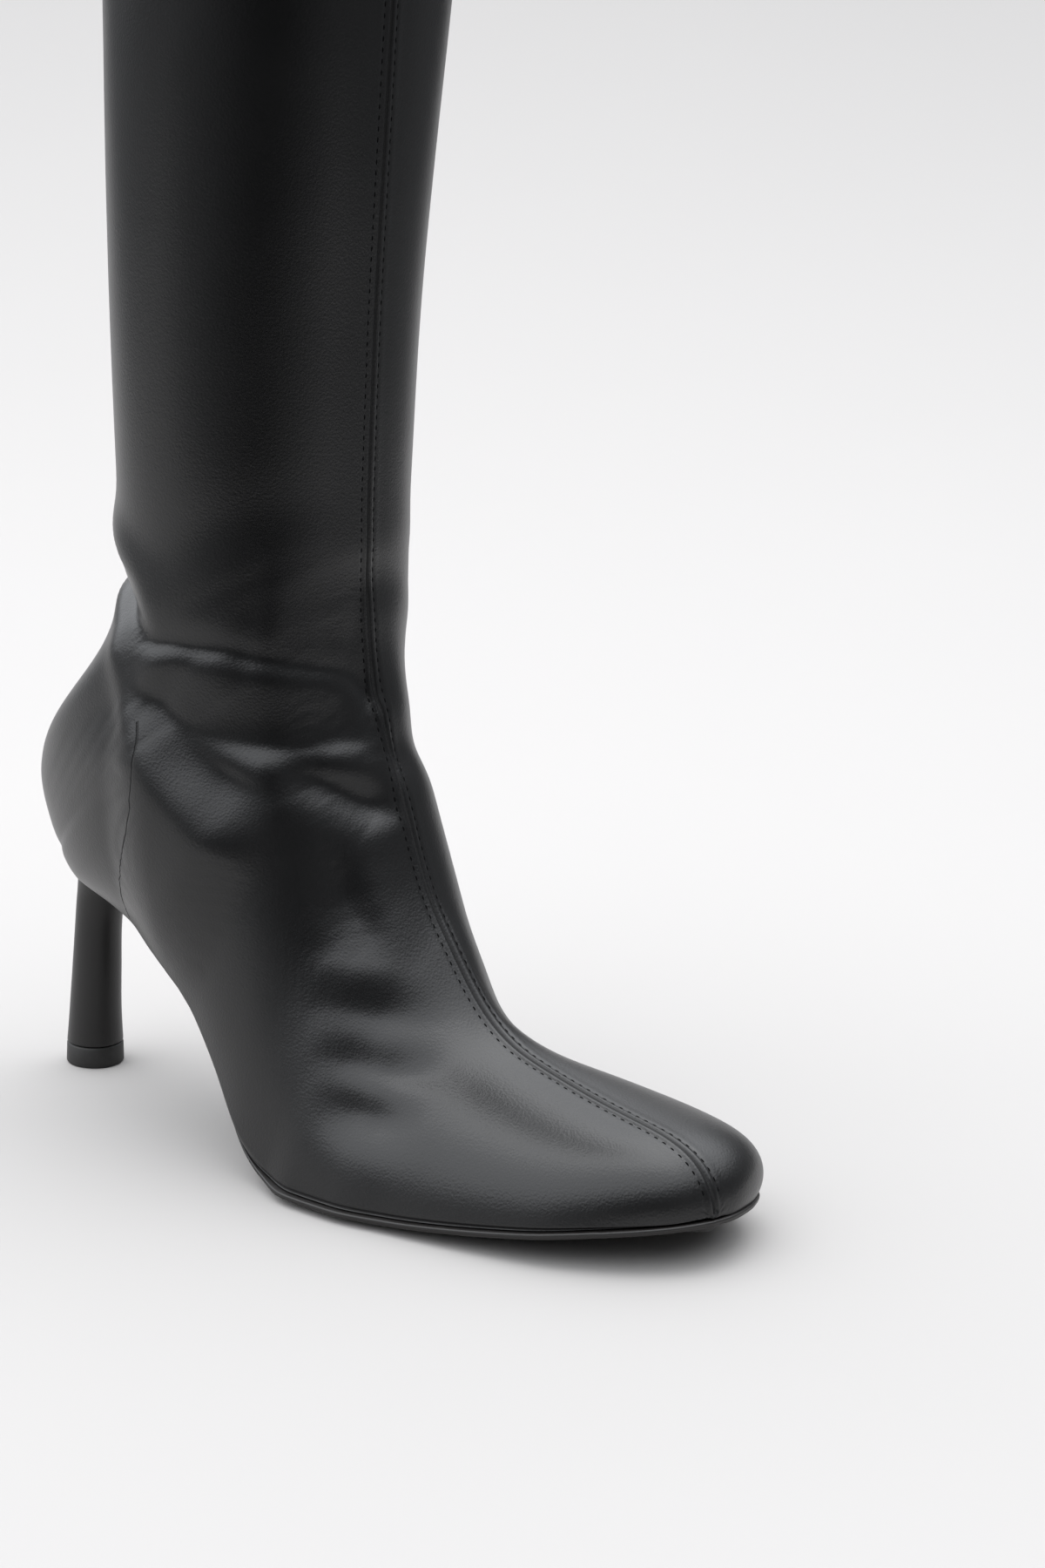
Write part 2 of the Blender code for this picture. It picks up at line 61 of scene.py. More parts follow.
# One row per section of the last and the leg, from the toe to the collar. low is where the section stands on
# the sole or on the back line, front is where it meets the front seam; skew turns it in plan so that it
# follows the line of the ball. foot is the half width at the lower edge, mid the half width half way up, and
# full how much wider it stays towards the front seam.
SECTIONS = [
    Section("toe tip", 211.5, 12.9, 211.5, 12.9, 1.0, 20.0, 0.0, 0.0, 0.0, 0.0),
    Section("toe rim", 211.0, 12.8, 211.6, 17.0, 0.8, 20.0, 5.6, 5.6, 5.6, 5.6),
    Section("toe front", 209.3, 12.5, 209.4, 21.4, 0.8, 20.0, 10.2, 10.2, 10.4, 10.4),
    Section("toe cap", 205.0, 11.8, 204.4, 25.4, 1.0, 19.5, 16.0, 17.8, 14.8, 18.4),
    Section("toe top", 198.4, 10.6, 196.5, 28.0, 1.2, 19.0, 22.0, 26.5, 19.5, 27.4),
    Section("toes", 189.0, 8.8, 186.2, 29.6, 1.4, 18.0, 27.5, 33.0, 24.0, 33.8),
    Section("toe base", 178.0, 7.1, 175.0, 31.6, 1.6, 17.0, 31.0, 37.0, 27.0, 35.5),
    Section("vamp", 164.0, 5.2, 161.5, 34.6, 2.0, 16.0, 34.5, 39.5, 30.0, 33.6),
    Section("vamp back", 150.0, 3.9, 149.8, 37.8, 2.4, 15.0, 37.5, 40.5, 32.6, 28.4),
    Section("ball", 136.0, 3.6, 140.0, 43.6, 2.8, 14.0, 40.5, 40.5, 35.2, 24.0),
    Section("tread back", 122.0, 3.6, 132.0, 52.2, 3.0, 13.0, 40.8, 37.5, 36.2, 22.5),
    Section("waist front", 110.0, 4.6, 125.0, 61.8, 3.2, 11.0, 38.2, 34.0, 36.0, 24.5),
    Section("waist", 97.0, 10.3, 118.4, 71.4, 3.2, 9.0, 36.0, 30.0, 35.0, 26.5),
    Section("waist mid", 84.0, 24.8, 113.8, 81.6, 3.2, 7.0, 32.0, 25.5, 34.0, 28.0),
    Section("instep", 67.0, 43.3, 109.6, 94.0, 3.2, 5.0, 28.0, 21.5, 33.4, 29.0),
    Section("seat front", 50.0, 53.6, 106.4, 105.0, 3.0, 3.5, 24.5, 20.0, 34.0, 30.0, 0.10),
    Section("seat", 33.0, 58.7, 103.0, 116.0, 2.6, 2.0, 21.5, 20.0, 35.0, 31.0, 0.25),
    Section("seat back", 15.0, 61.0, 99.6, 127.0, 2.2, 0.0, 17.5, 17.5, 35.8, 32.0, 0.40),
    Section("seat end", 5.0, 62.6, 97.6, 135.0, 1.8, 0.0, 10.8, 10.8, 36.3, 33.5, 0.55),
    Section("heel edge", 0.5, 64.3, 96.6, 140.0, 1.4, 0.0, 0.0, 0.0, 36.5, 34.5, 0.65),
    Section("heel low", -2.4, 71.5, 96.2, 145.0, 1.0, 0.0, 0.0, 0.0, 36.6, 35.5, 0.72),
    Section("heel", -7.6, 82.0, 96.2, 149.0, 0.8, 0.0, 0.0, 0.0, 36.2, 36.0, 0.78),
    Section("heel top", -5.6, 93.0, 96.6, 153.0, 0.5, 0.0, 0.0, 0.0, 35.7, 36.5, 0.74),
    Section("ankle low", 3.0, 104.0, 97.2, 157.0, 0.0, 0.0, 0.0, 0.0, 35.2, 37.0, 0.62),
    Section("ankle", 14.8, 116.0, 97.8, 161.0, -0.5, 0.0, 0.0, 0.0, 34.8, 37.5, 0.36),
    Section("ankle top", 24.0, 128.0, 98.1, 166.0, -1.0, 0.0, 0.0, 0.0, 34.6, 38.0, 0.24),
    Section("leg low", 28.3, 143.0, 98.5, 173.0, -1.5, 0.0, 0.0, 0.0, 34.1, 37.8, 0.14),
    Section("leg", 28.6, 165.0, 99.6, 187.0, -2.5, 0.0, 0.0, 0.0, 36.0, 38.5, 0.12),
    Section("shin", 28.5, 205.0, 102.4, 216.0, -5.0, 0.0, 0.0, 0.0, 38.0, 40.5, 0.06),
    Section("calf low", 29.2, 250.0, 108.3, 255.0, -9.8, 0.0, 0.0, 0.0, 39.4, 44.8),
    Section("calf", 31.0, 305.0, 115.3, 306.0, -15.0, 0.0, 0.0, 0.0, 41.3, 50.4),
    Section("calf full", 28.5, 370.0, 120.0, 370.0, -16.5, 0.0, 0.0, 0.0, 45.0, 53.2),
    Section("calf top", 27.5, 420.0, 122.0, 420.0, -17.0, 0.0, 0.0, 0.0, 46.0, 53.5),
    Section("collar", 28.0, 455.0, 121.5, 455.0, -17.0, 0.0, 0.0, 0.0, 45.5, 51.5),
]
section_names = [row.name for row in SECTIONS]
HEEL_EDGE, LEG_LOW = section_names.index("heel edge"), section_names.index("leg low")
FOOT_WIDTHS = slice(6, 8)  # foot_out and foot_in in a section's row of numbers
LONG_SIDE_SHARE = 0.6  # least share of its longer side that counts as the step between two sections

Fold = namedtuple("Fold", "name side line rise above below fade ends", defaults=(0.22, "both"))
OUT, INN, BOTH = -1, 1, 0
# One row per soft ridge or trough that the skin settles into. The line goes through places seen from the side,
# as (x, z), to the toe on the outer side and to the heel on the inner; rise is its height, or its depth where
# negative, above and below are how far it spreads on the left and on the right of the line as it runs, fade is
# the share of the line over which it dies away, and ends names the ends where it does.
FOLDS = [
    Fold("ankle sag", OUT, ((44, 96), (60, 95), (76, 95), (92, 95), (108, 96)), 3.8, 33.0, 50.0, 0.3),
    Fold(
        "quarter swell", OUT,
        ((49, 121), (54, 112), (60, 103.5), (65, 97.5), (70, 92.5), (76, 87), (83, 82), (92, 77)),
        3.8, 9.0, 44.0, 0.3,
    ),
    Fold("shaft front", OUT, ((84, 143), (90, 142), (97, 140)), 1.5, 13.0, 18.0, 0.35),
    Fold(
        "shaft overhang", BOTH,
        ((28, 168), (38, 161), (46, 155.5), (52, 152), (56, 148), (60, 142), (67, 134)),
        1.8, 7.0, 1.8,
    ),
    Fold(
        "ankle notch", BOTH,
        ((28, 155), (37, 149), (46, 144), (53, 140), (58, 136), (66, 132)),
        -5.2, 3.4, 4.6,
    ),
    Fold("back roll", BOTH, ((28, 143), (36, 143), (45, 138), (52, 134)), 1.2, 4.0, 3.6),
    Fold(
        "counter ridge", OUT,
        ((43, 139), (45, 134.5), (48, 128.5), (51, 122), (55, 115), (60, 108)),
        1.2, 2.6, 5.0, 0.3,
    ),
    Fold(
        "shin trough", OUT,
        ((84, 142), (90, 140), (95, 137), (99, 132), (102, 126), (105, 118)),
        -0.9, 8.0, 4.5,
    ),
    Fold(
        "upper trough", OUT,
        (
            (48, 135.4), (57, 134.9), (68, 135.6), (77, 135.2), (86, 133.6),
            (92, 131.5), (97, 128.5), (100.5, 123.5), (102.5, 118), (104.5, 110),
        ),
        -1.5, 5.0, 2.3, 0.24,
    ),
    Fold(
        "deep trough", OUT,
        (
            (57, 127), (60, 124), (64, 120.6), (70, 117.2), (76, 114.6),
            (82, 112.9), (89, 112), (95, 112.4), (101, 113.5), (107, 113.5),
        ),
        -2.6, 12.5, 4.4, 0.18,
    ),
    Fold(
        "slant trough", OUT,
        ((54, 125), (58, 120.5), (62, 116.6), (66, 113), (72, 108.6), (79, 104.6), (87, 100.3), (94, 97)),
        -2.3, 4.2, 8.5, 0.32,
    ),
    Fold(
        "front trough", OUT,
        ((88, 106), (95, 104.5), (100, 102), (104, 98.5), (108, 94), (111, 89)),
        -2.7, 5.0, 5.8, 0.36,
    ),
    Fold(
        "instep hollow", OUT,
        ((99, 90), (103, 84), (107, 77), (111, 69), (116, 62), (120, 57)),
        -2.0, 5.0, 10.0, 0.5,
    ),
    Fold("instep swell", OUT, ((104, 74), (110, 70), (116, 65), (124, 58)), 0.8, 17.0, 22.0, 0.45),
    Fold(
        "instep trough", OUT,
        ((100, 65), (106, 62.5), (112, 61.5), (118, 60), (126, 58)),
        -0.4, 8.0, 3.4, 0.4,
    ),
    Fold(
        "first dent", OUT,
        ((104, 52), (112, 50), (118, 48.5), (124, 47), (130, 46), (138, 45)),
        -1.5, 7.0, 5.5, 0.45,
    ),
    Fold(
        "second dent", OUT,
        ((110, 39), (118, 37.5), (125, 36.5), (131, 35.5), (138, 35), (146, 34)),
        -1.7, 6.5, 4.8, 0.45,
    ),
    Fold(
        "third dent", OUT,
        ((113, 28.5), (122, 26.5), (129, 25.5), (136, 25), (147, 24.5)),
        -2.0, 6.0, 7.0, 0.45,
    ),
    Fold("inner roll", INN, ((100, 143), (90, 142), (74, 137)), 1.2, 9.0, 9.0, 0.36, "end"),
    Fold("inner hollow", INN, ((107, 109), (98, 107), (78, 106)), -2.0, 9.0, 8.0, 0.36, "end"),
]


def pchip(knots, values, at):
    """Shape-keeping cubic through values at knots, for each column of values."""
    step = np.diff(knots)[:, None]
    slope = np.diff(values, axis=0) / step
    tangent = np.zeros_like(values)
    tangent[0] = slope[0]
    tangent[-1] = slope[-1]
    before, after = slope[:-1], slope[1:]
    same = before * after > 0
    w1 = 2.0 * step[1:] + step[:-1]
    w2 = step[1:] + 2.0 * step[:-1]
    safe_b = np.where(same, before, 1.0)
    safe_a = np.where(same, after, 1.0)
    tangent[1:-1] = np.where(same, (w1 + w2) / (w1 / safe_b + w2 / safe_a), 0.0)
    k = np.clip(np.searchsorted(knots, at, side="right") - 1, 0, len(knots) - 2)
    h = (knots[k + 1] - knots[k])[:, None]
    t = ((at - knots[k])[:, None]) / h
    return (
        (1 + 2 * t) * (1 - t) ** 2 * values[k]
        + t * (1 - t) ** 2 * h * tangent[k]
        + t * t * (3 - 2 * t) * values[k + 1]
        + t * t * (t - 1) * h * tangent[k + 1]
    )


def evened(values, reach):
    """Values along the boot with a soft average taken over them; both ends stay where they are."""
    span = int(math.ceil(3 * reach))
    weight = np.exp(-0.5 * (np.arange(-span, span + 1) / reach) ** 2)
    weight /= weight.sum()
    head = 2 * values[:1] - values[span:0:-1]
    tail = 2 * values[-1:] - values[-2 : -span - 2 : -1]
    longer = np.concatenate([head, values, tail])
    return np.stack([np.convolve(column, weight, "valid") for column in longer.T], axis=1)


def rows_of_last():
    """The table evened out along the boot, and the row where the lower edge closes behind the heel."""
    table = np.array([row[1:] for row in SECTIONS], float)
    gap_low = np.hypot(np.diff(table[:, 0]), np.diff(table[:, 1]))
    gap_front = np.hypot(np.diff(table[:, 2]), np.diff(table[:, 3]))
    length = np.maximum(0.5 * (gap_low + gap_front), LONG_SIDE_SHARE * np.maximum(gap_low, gap_front))
    knots = np.concatenate([[0.0], np.cumsum(np.sqrt(length))])
    at = [0.0]
    closing = 0
    for k, reach in enumerate(length):
        step = FOOT_STEP if k < LEG_LOW + 1 else SHAFT_STEP
        steps = 2 * max(1, math.ceil(0.5 * reach / step))
        at.extend(knots[k] + (knots[k + 1] - knots[k]) * (np.arange(steps) + 1) / steps)
        if k + 1 == HEEL_EDGE:
            closing = len(at) - 1
    rows = pchip(knots, table, np.array(at))
    soft = np.delete(np.arange(table.shape[1]), FOOT_WIDTHS)
    rows[:, soft] = evened(rows[:, soft], EASE_ROWS)
    rows[: closing + 1, FOOT_WIDTHS] = np.maximum(rows[: closing + 1, FOOT_WIDTHS], 0.0)
    rows[closing:, FOOT_WIDTHS] = 0.0
    return rows, closing


SEAM_STEPS = np.array([0.0, 0.3, 0.6, 1.0, 1.4, 1.8, 2.2, 2.6, 3.2, 4.0, 5.0])  # columns beside the seam
SEAM_SHARE = 0.4  # most of a section's side that these columns may take
SECTION_POINTS = 181  # points that a section's side is drawn through before its columns are set out


def side_of_section(row, side):
    """Points of one section from the front seam to the lower edge, and their distance from the seam."""
    cut = Section("", *row)
    foot, mid = (cut.foot_out, cut.mid_out) if side == OUT else (cut.foot_in, cut.mid_in)
    s = 0.5 * (1.0 + np.cos(np.linspace(0.0, math.pi, SECTION_POINTS)))
    u = s - cut.full * s**2 * (1.0 - s)
    wide = np.sqrt(np.maximum((1.0 - u) * (foot**2 + 4.0 * (mid**2 - 0.5 * foot**2) * u), 0.0))
    across = side * wide
    turn = math.radians(cut.skew)
    x = cut.low_x + (cut.front_x - cut.low_x) * s + across * math.sin(turn)
    y = cut.front_y * s**0.5 + across * math.cos(turn)
    z = cut.low_z + (cut.front_z - cut.low_z) * s
    line = np.stack([x, y, z], axis=1)
    run = np.concatenate([[0.0], np.cumsum(np.linalg.norm(np.diff(line, axis=0), axis=1))])
    near = SEAM_STEPS * min(1.0, SEAM_SHARE * run[-1] / SEAM_STEPS[-1])
    even = np.linspace(near[-1], run[-1], SIDE_COLUMNS + 2 - len(near))[1:]
    want = np.concatenate([near, even])
    return np.stack([np.interp(want, run, line[:, i]) for i in range(3)], axis=1), want


def vertex_normals(points, quads):
    cross = np.cross(points[quads[:, 2]] - points[quads[:, 0]], points[quads[:, 3]] - points[quads[:, 1]])
    normal = np.zeros_like(points)
    for corner in range(4):
        np.add.at(normal, quads[:, corner], cross)
    size = np.linalg.norm(normal, axis=1)
    return normal / np.where(size == 0.0, 1.0, size)[:, None]


def quads_of(ids):
    return np.stack(
        [ids[:-1, :-1].ravel(), ids[:-1, 1:].ravel(), ids[1:, 1:].ravel(), ids[1:, :-1].ravel()], axis=1
    )


def smooth_line(places, count):
    """A smooth line through the places, evenly walked."""
    places = np.array(places, float)
    run = np.concatenate([[0.0], np.cumsum(np.linalg.norm(np.diff(places, axis=0), axis=1))])
    fine = pchip(run, places, np.linspace(0.0, run[-1], 8 * count))
    walk = np.concatenate([[0.0], np.cumsum(np.linalg.norm(np.diff(fine, axis=0), axis=1))])
    want = np.linspace(0.0, walk[-1], count)
    return np.stack([np.interp(want, walk, fine[:, i]) for i in range(places.shape[1])], axis=1)


def soft_end(t, ends, share):
    """1 along the middle of a line, dying away to 0 at the ends that are named."""
    a = np.ones_like(t)
    if ends != "end":
        a = np.minimum(a, np.clip(t / share, 0.0, 1.0))
    if ends != "start":
        a = np.minimum(a, np.clip((1.0 - t) / share, 0.0, 1.0))
    return a * a * (3.0 - 2.0 * a)


LINE_POINTS = 60
LINE_EASE = 2.0  # how far a line laid on the skin is evened out, in its points
SKIN_NEAR = 1.6  # how near the skin's points lie that give a line its depth


def line_on_skin(places, side, points, side_of):
    """The line laid on the skin of one side, from where its places are seen from that side."""
    line = smooth_line(places, LINE_POINTS)
    mine = points[side_of == side]
    far = (mine[:, None, 0] - line[None, :, 0]) ** 2 + (mine[:, None, 2] - line[None, :, 1]) ** 2
    weight = np.exp((far.min(axis=0) - far) / (2.0 * SKIN_NEAR**2))
    depth = (weight * mine[:, 1:2]).sum(axis=0) / weight.sum(axis=0)
    return evened(np.stack([line[:, 0], depth, line[:, 1]], axis=1), LINE_EASE)


def beside_line(line, points, normals, reach):
    """Which points lie near the line, how far off, whether to its left seen from outside, and where along."""
    low, high = line.min(axis=0) - reach, line.max(axis=0) + reach
    near = np.where(np.all((points > low) & (points < high), axis=1))[0]
    away = points[near][:, None, :] - line[None, :, :]
    gap = np.linalg.norm(away, axis=2)
    k = gap.argmin(axis=1)
    ahead = np.gradient(line, axis=0)[k]
    delta = away[np.arange(len(near)), k]
    left = np.einsum("ij,ij->i", np.cross(ahead, delta), normals[near])
    return near, gap[np.arange(len(near)), k], left, k / (len(line) - 1.0)


FOLD_REACH = 3.0  # how many of its widths a fold is followed for
JOIN_STEP = 6  # points left out between those that join a line's two sides round the back


def fold_rise(points, normals, side_of):
    """How far each point of the skin is moved out by the folds."""
    rise = np.zeros(len(points))
    for fold in FOLDS:
        if fold.side == BOTH:
            inner = line_on_skin(fold.line, INN, points, side_of)
            outer = line_on_skin(fold.line, OUT, points, side_of)
            line = smooth_line(np.concatenate([inner[::-JOIN_STEP], outer[::JOIN_STEP]]), 2 * LINE_POINTS)
        else:
            line = line_on_skin(fold.line, fold.side, points, side_of)
        reach = FOLD_REACH * max(fold.above, fold.below)
        near, gap, left, t = beside_line(line, points, normals, reach)
        wide = np.where(left > 0.0, fold.above, fold.below)
        rise[near] += fold.rise * soft_end(t, fold.ends, fold.fade) * np.exp(-((gap / wide) ** 2))
    return rise


def softened(values, passes):
    """Values on the skin's grid, each averaged a little with its neighbours."""
    for _ in range(passes):
        inside = values[1:-1, 1:-1]
        around = values[:-2, 1:-1] + values[2:, 1:-1] + values[1:-1, :-2] + values[1:-1, 2:]
        values = values.copy()
        values[1:-1, 1:-1] = 0.5 * inside + 0.125 * around
    return values


ROWS, CLOSING = rows_of_last()
sides = [(side_of_section(row, OUT), side_of_section(row, INN)) for row in ROWS]
GRID = np.array([np.concatenate([out[0][::-1], inn[0][1:]]) for out, inn in sides])
ACROSS = np.array([np.concatenate([-out[1][::-1], inn[1][1:]]) for out, inn in sides])
ROW_COUNT, COLUMN_COUNT = GRID.shape[:2]
MIDDLE = COLUMN_COUNT // 2
IDS = np.arange(ROW_COUNT * COLUMN_COUNT).reshape(ROW_COUNT, COLUMN_COUNT)
IDS[0] = IDS[0, 0]
IDS[CLOSING:, -1] = IDS[CLOSING:, 0]
SKIN = quads_of(IDS)
SIDE_OF = np.broadcast_to(np.sign(np.arange(COLUMN_COUNT) - MIDDLE)[None, :], IDS.shape).copy()
SIDE_OF[CLOSING:, 0] = BOTH
SIDE_OF = SIDE_OF.reshape(-1)

# Wall: the last's surface takes the folds and is the skin's inner side; the outer side lies a wall outside it
FOLD_PASSES = 2
last_points = GRID.reshape(-1, 3).copy()
last_normals = vertex_normals(last_points, SKIN)
folds_out = softened(fold_rise(last_points, last_normals, SIDE_OF).reshape(IDS.shape), FOLD_PASSES)
last_points += last_normals * folds_out.reshape(-1)[:, None]
OUTWARD = vertex_normals(last_points, SKIN)
level_out = OUTWARD.copy()
EDGE_X, EDGE_Z = ROWS[: CLOSING + 1, 0], ROWS[: CLOSING + 1, 1]
NUDGE = 1e-6  # keeps two places on the edge apart
edge_slope = np.gradient(EDGE_Z, EDGE_X - NUDGE * np.arange(CLOSING + 1))
for i in range(CLOSING + 1):
    across_sole = np.array([-edge_slope[i], 0.0, 1.0]) / math.hypot(1.0, edge_slope[i])
    for v in (IDS[i, 0], IDS[i, -1]):
        level = OUTWARD[v] - across_sole * np.dot(OUTWARD[v], across_sole)
        level_out[v] = level / np.linalg.norm(level)

# Front seam: a groove between two lips, a channel under each row of stitches, all on a slightly raised band
STITCH_OFF = 2.15
GROOVE_DEPTH, GROOVE_WIDE = 0.5, 0.36
LIP_RISE, LIP_OFF, LIP_WIDE = 0.25, 0.95, 0.55
CHANNEL_DEPTH, CHANNEL_WIDE = 0.2, 0.4
BAND_RISE, BAND_OFF, BAND_EDGE = 0.2, 3.6, 0.35
off_seam = np.abs(ACROSS)
seam_rise = BAND_RISE / (1.0 + np.exp((off_seam - BAND_OFF) / BAND_EDGE))
seam_rise += LIP_RISE * np.exp(-(((off_seam - LIP_OFF) / LIP_WIDE) ** 2))
seam_rise -= GROOVE_DEPTH * np.exp(-((off_seam / GROOVE_WIDE) ** 2))
seam_rise -= CHANNEL_DEPTH * np.exp(-(((off_seam - STITCH_OFF) / CHANNEL_WIDE) ** 2))
seam_rise[0] = 0.0
outer_points = last_points + level_out * WALL + OUTWARD * seam_rise.reshape(-1)[:, None]

# Lower edge is drawn in where it meets the sole: by how much, for the first columns from the edge
EDGE_TUCK = ((0, 1.0), (1, 0.35))
for column, tuck in EDGE_TUCK:
    for i in range(1, CLOSING + 1):
        for v in (IDS[i, column], IDS[i, -1 - column]):
            outer_points[v] -= level_out[v] * tuck

# Length along the front seam, for the stitches that follow it
seam_walk = np.linalg.norm(np.diff(outer_points[IDS[:, MIDDLE]], axis=0), axis=1)
ALONG = np.concatenate([[0.0], np.cumsum(seam_walk)])

# Back part's seam: a plain closed seam on each side, from the ankle down to the sole
COUNTER_SEAM = (
    ((57, 116), (59, 109), (59, 102), (58.5, 96), (56.5, 88)) + ((51.5, 79), (46, 69), (44, 64), (43.5, 58))
)
COUNTER_REACH = 8.0
NO_SEAM = 20.0  # distance given where no seam is near
counter_gap = np.full(len(outer_points), NO_SEAM)
for side in (OUT, INN):
    counter_line = line_on_skin(COUNTER_SEAM, side, last_points, SIDE_OF)
    near, gap, left, t = beside_line(counter_line, last_points, OUTWARD, COUNTER_REACH)
    mine = SIDE_OF[near] == side
    counter_gap[near[mine]] = np.where(t <= 0.0, NO_SEAM, np.where(left > 0.0, gap, -gap))[mine]


def mesh_object(name, points, faces, attributes=()):
    """A mesh at the origin from points in millimetres, smooth, with its values on the points."""
    used, index = np.unique(np.concatenate([np.asarray(face) for face in faces]), return_inverse=True)
    ends = np.cumsum([len(face) for face in faces])
    mesh = bpy.data.meshes.new(name)
    mesh.from_pydata((points[used] * MM).tolist(), [], [part.tolist() for part in np.split(index, ends[:-1])])
    for key, values in attributes:
        layer = mesh.attributes.new(key, "FLOAT", "POINT")
        layer.data.foreach_set("value", np.asarray(values, np.float32).reshape(-1)[used])
    mesh.validate()
    mesh.update()
    mesh.shade_smooth()
    piece = bpy.data.objects.new(name, mesh)
    bpy.context.scene.collection.objects.link(piece)
    return piece


# Inner side has half the rows and columns of the outer; the rims join the two
COLLAR_CROWN = 0.6
half = IDS[::2, ::2]
shift = len(outer_points)
faces = [quad if quad[0] != quad[1] else quad[1:] for quad in SKIN.tolist()]
outer_count = len(faces)
for quad in quads_of(half).tolist():
    faces.append([v + shift for v in reversed(quad if quad[0] != quad[1] else quad[1:])])
inner_count = len(faces) - outer_count
rim_top = outer_points[IDS[-1]] * 0.5 + last_points[IDS[-1]] * 0.5 + np.array([0.0, 0.0, COLLAR_CROWN])
rim_ids = 2 * shift + np.arange(COLUMN_COUNT)
rim_ids[-1] = rim_ids[0]
for j in range(COLUMN_COUNT - 1):
    faces.append([IDS[-1, j], IDS[-1, j + 1], rim_ids[j + 1], rim_ids[j]])
for j in range(0, COLUMN_COUNT - 1, 2):
    a, b = half[-1, j // 2] + shift, half[-1, j // 2 + 1] + shift
    faces.append([rim_ids[j], rim_ids[j + 1], rim_ids[j + 2], b, a])
for i in range(0, CLOSING, 2):
    a, b, c = IDS[i, 0], IDS[i + 1, 0], IDS[i + 2, 0]
    faces.append([c, b, a, a + shift, c + shift])
    a, b, c = IDS[i, -1], IDS[i + 1, -1], IDS[i + 2, -1]
    faces.append([a, b, c, c + shift, a + shift])
everything = np.concatenate([outer_points, last_points, rim_top])
far_off = np.full(COLUMN_COUNT, NO_SEAM)
upper = mesh_object(
    "boot_upper",
    everything,
    faces,
    (
        ("seam_across", np.concatenate([ACROSS.ravel(), ACROSS.ravel(), far_off])),
        ("counter_gap", np.concatenate([counter_gap, np.full(shift, NO_SEAM), far_off])),
    ),
)


def node(tree, kind, place, **settings):
    """A node of that kind; settings name its properties, or its inputs where the name is one of theirs."""
    made = tree.nodes.new(kind)
    made.location = (220 * place[0], -180 * place[1])
    for key, value in settings.items():
        if hasattr(made, key):
            setattr(made, key, value)
        else:
            made.inputs[key.replace("_", " ")].default_value = value
    return made


def new_material(name):
    made = bpy.data.materials.new(name)
    made.use_nodes = True
    return made, made.node_tree, made.node_tree.nodes["Principled BSDF"]


def object_noise(tree, place, stretch=None, **settings):
    """Noise laid on the piece's own coordinates, drawn out by stretch where that is given."""
    column, row = place
    where = node(tree, "ShaderNodeTexCoord", (column - 2, row)).outputs["Object"]
    if stretch:
        drawn = node(tree, "ShaderNodeMapping", (column - 1, row), Scale=stretch)
        tree.links.new(where, drawn.inputs["Vector"])
        where = drawn.outputs["Vector"]
    noise = node(tree, "ShaderNodeTexNoise", place, **settings)
    tree.links.new(where, noise.inputs["Vector"])
    return noise.outputs["Fac"]


def tone_between(tree, place, factor, first, second):
    """A colour that goes from the first to the second as the factor goes from 0 to 1."""
    tone = node(tree, "ShaderNodeMix", place, data_type="RGBA")
    tone.inputs["A"].default_value = (*first, 1.0)
    tone.inputs["B"].default_value = (*second, 1.0)
    tree.links.new(factor, tone.inputs["Factor"])
    return tone


def value_between(tree, place, factor, low, high):
    """A value that goes evenly from low to high as the factor goes from 0 to 1."""
    value = node(tree, "ShaderNodeMapRange", place, To_Min=low, To_Max=high)
    tree.links.new(factor, value.inputs["Value"])
    return value.outputs["Result"]


def soft_step(tree, place, source, low, high, at_low, at_high):
    """A value that goes softly from at_low to at_high as the source goes from low to high."""
    ranges = {"From_Min": low, "From_Max": high, "To_Min": at_low, "To_Max": at_high}
    step = node(tree, "ShaderNodeMapRange", place, interpolation_type="SMOOTHSTEP", **ranges)
    tree.links.new(source, step.inputs["Value"])
    return step.outputs["Result"]


def relief(tree, place, height, strength, depth, **settings):
    """A bump from the height, its depth in metres."""
    bump = node(tree, "ShaderNodeBump", place, Strength=strength, Distance=depth, **settings)
    tree.links.new(height, bump.inputs["Height"])
    return bump


def pebble_grain():
    """Fine grain of a coated skin: shallow cells with a finer drift over them. Puts out a height."""
    group = bpy.data.node_groups.new("pebble grain", "ShaderNodeTree")
    group.interface.new_socket("Cell size", in_out="INPUT", socket_type="NodeSocketFloat")
    group.interface.new_socket("Height", in_out="OUTPUT", socket_type="NodeSocketFloat")
    start = group.nodes.new("NodeGroupInput")
    end = group.nodes.new("NodeGroupOutput")
    place = node(group, "ShaderNodeTexCoord", (0, 1))
    scale = node(group, "ShaderNodeMath", (0, 2), operation="DIVIDE")
    scale.inputs[0].default_value = 1.0
    cells = node(group, "ShaderNodeTexVoronoi", (1, 1), feature="SMOOTH_F1", Smoothness=0.6)
    drift = node(group, "ShaderNodeTexNoise", (1, 2), Detail=3.0, Roughness=0.6)
    both = node(group, "ShaderNodeMath", (2, 1), operation="ADD")
    link = group.links.new
    link(start.outputs["Cell size"], scale.inputs[1])
    for texture in (cells, drift):
        link(place.outputs["Object"], texture.inputs["Vector"])
        link(scale.outputs[0], texture.inputs["Scale"])
    link(cells.outputs["Distance"], both.inputs[0])
    link(drift.outputs["Fac"], both.inputs[1])
    link(both.outputs[0], end.inputs["Height"])
    return group


PEBBLE_GRAIN = pebble_grain()
GRAIN_CELL = 0.00062  # metres, and so is the depth
GRAIN_DEPTH = 0.00007


def grain_height(tree, place):
    grain = node(tree, "ShaderNodeGroup", place, node_tree=PEBBLE_GRAIN)
    grain.inputs["Cell size"].default_value = GRAIN_CELL
    return grain.outputs["Height"]


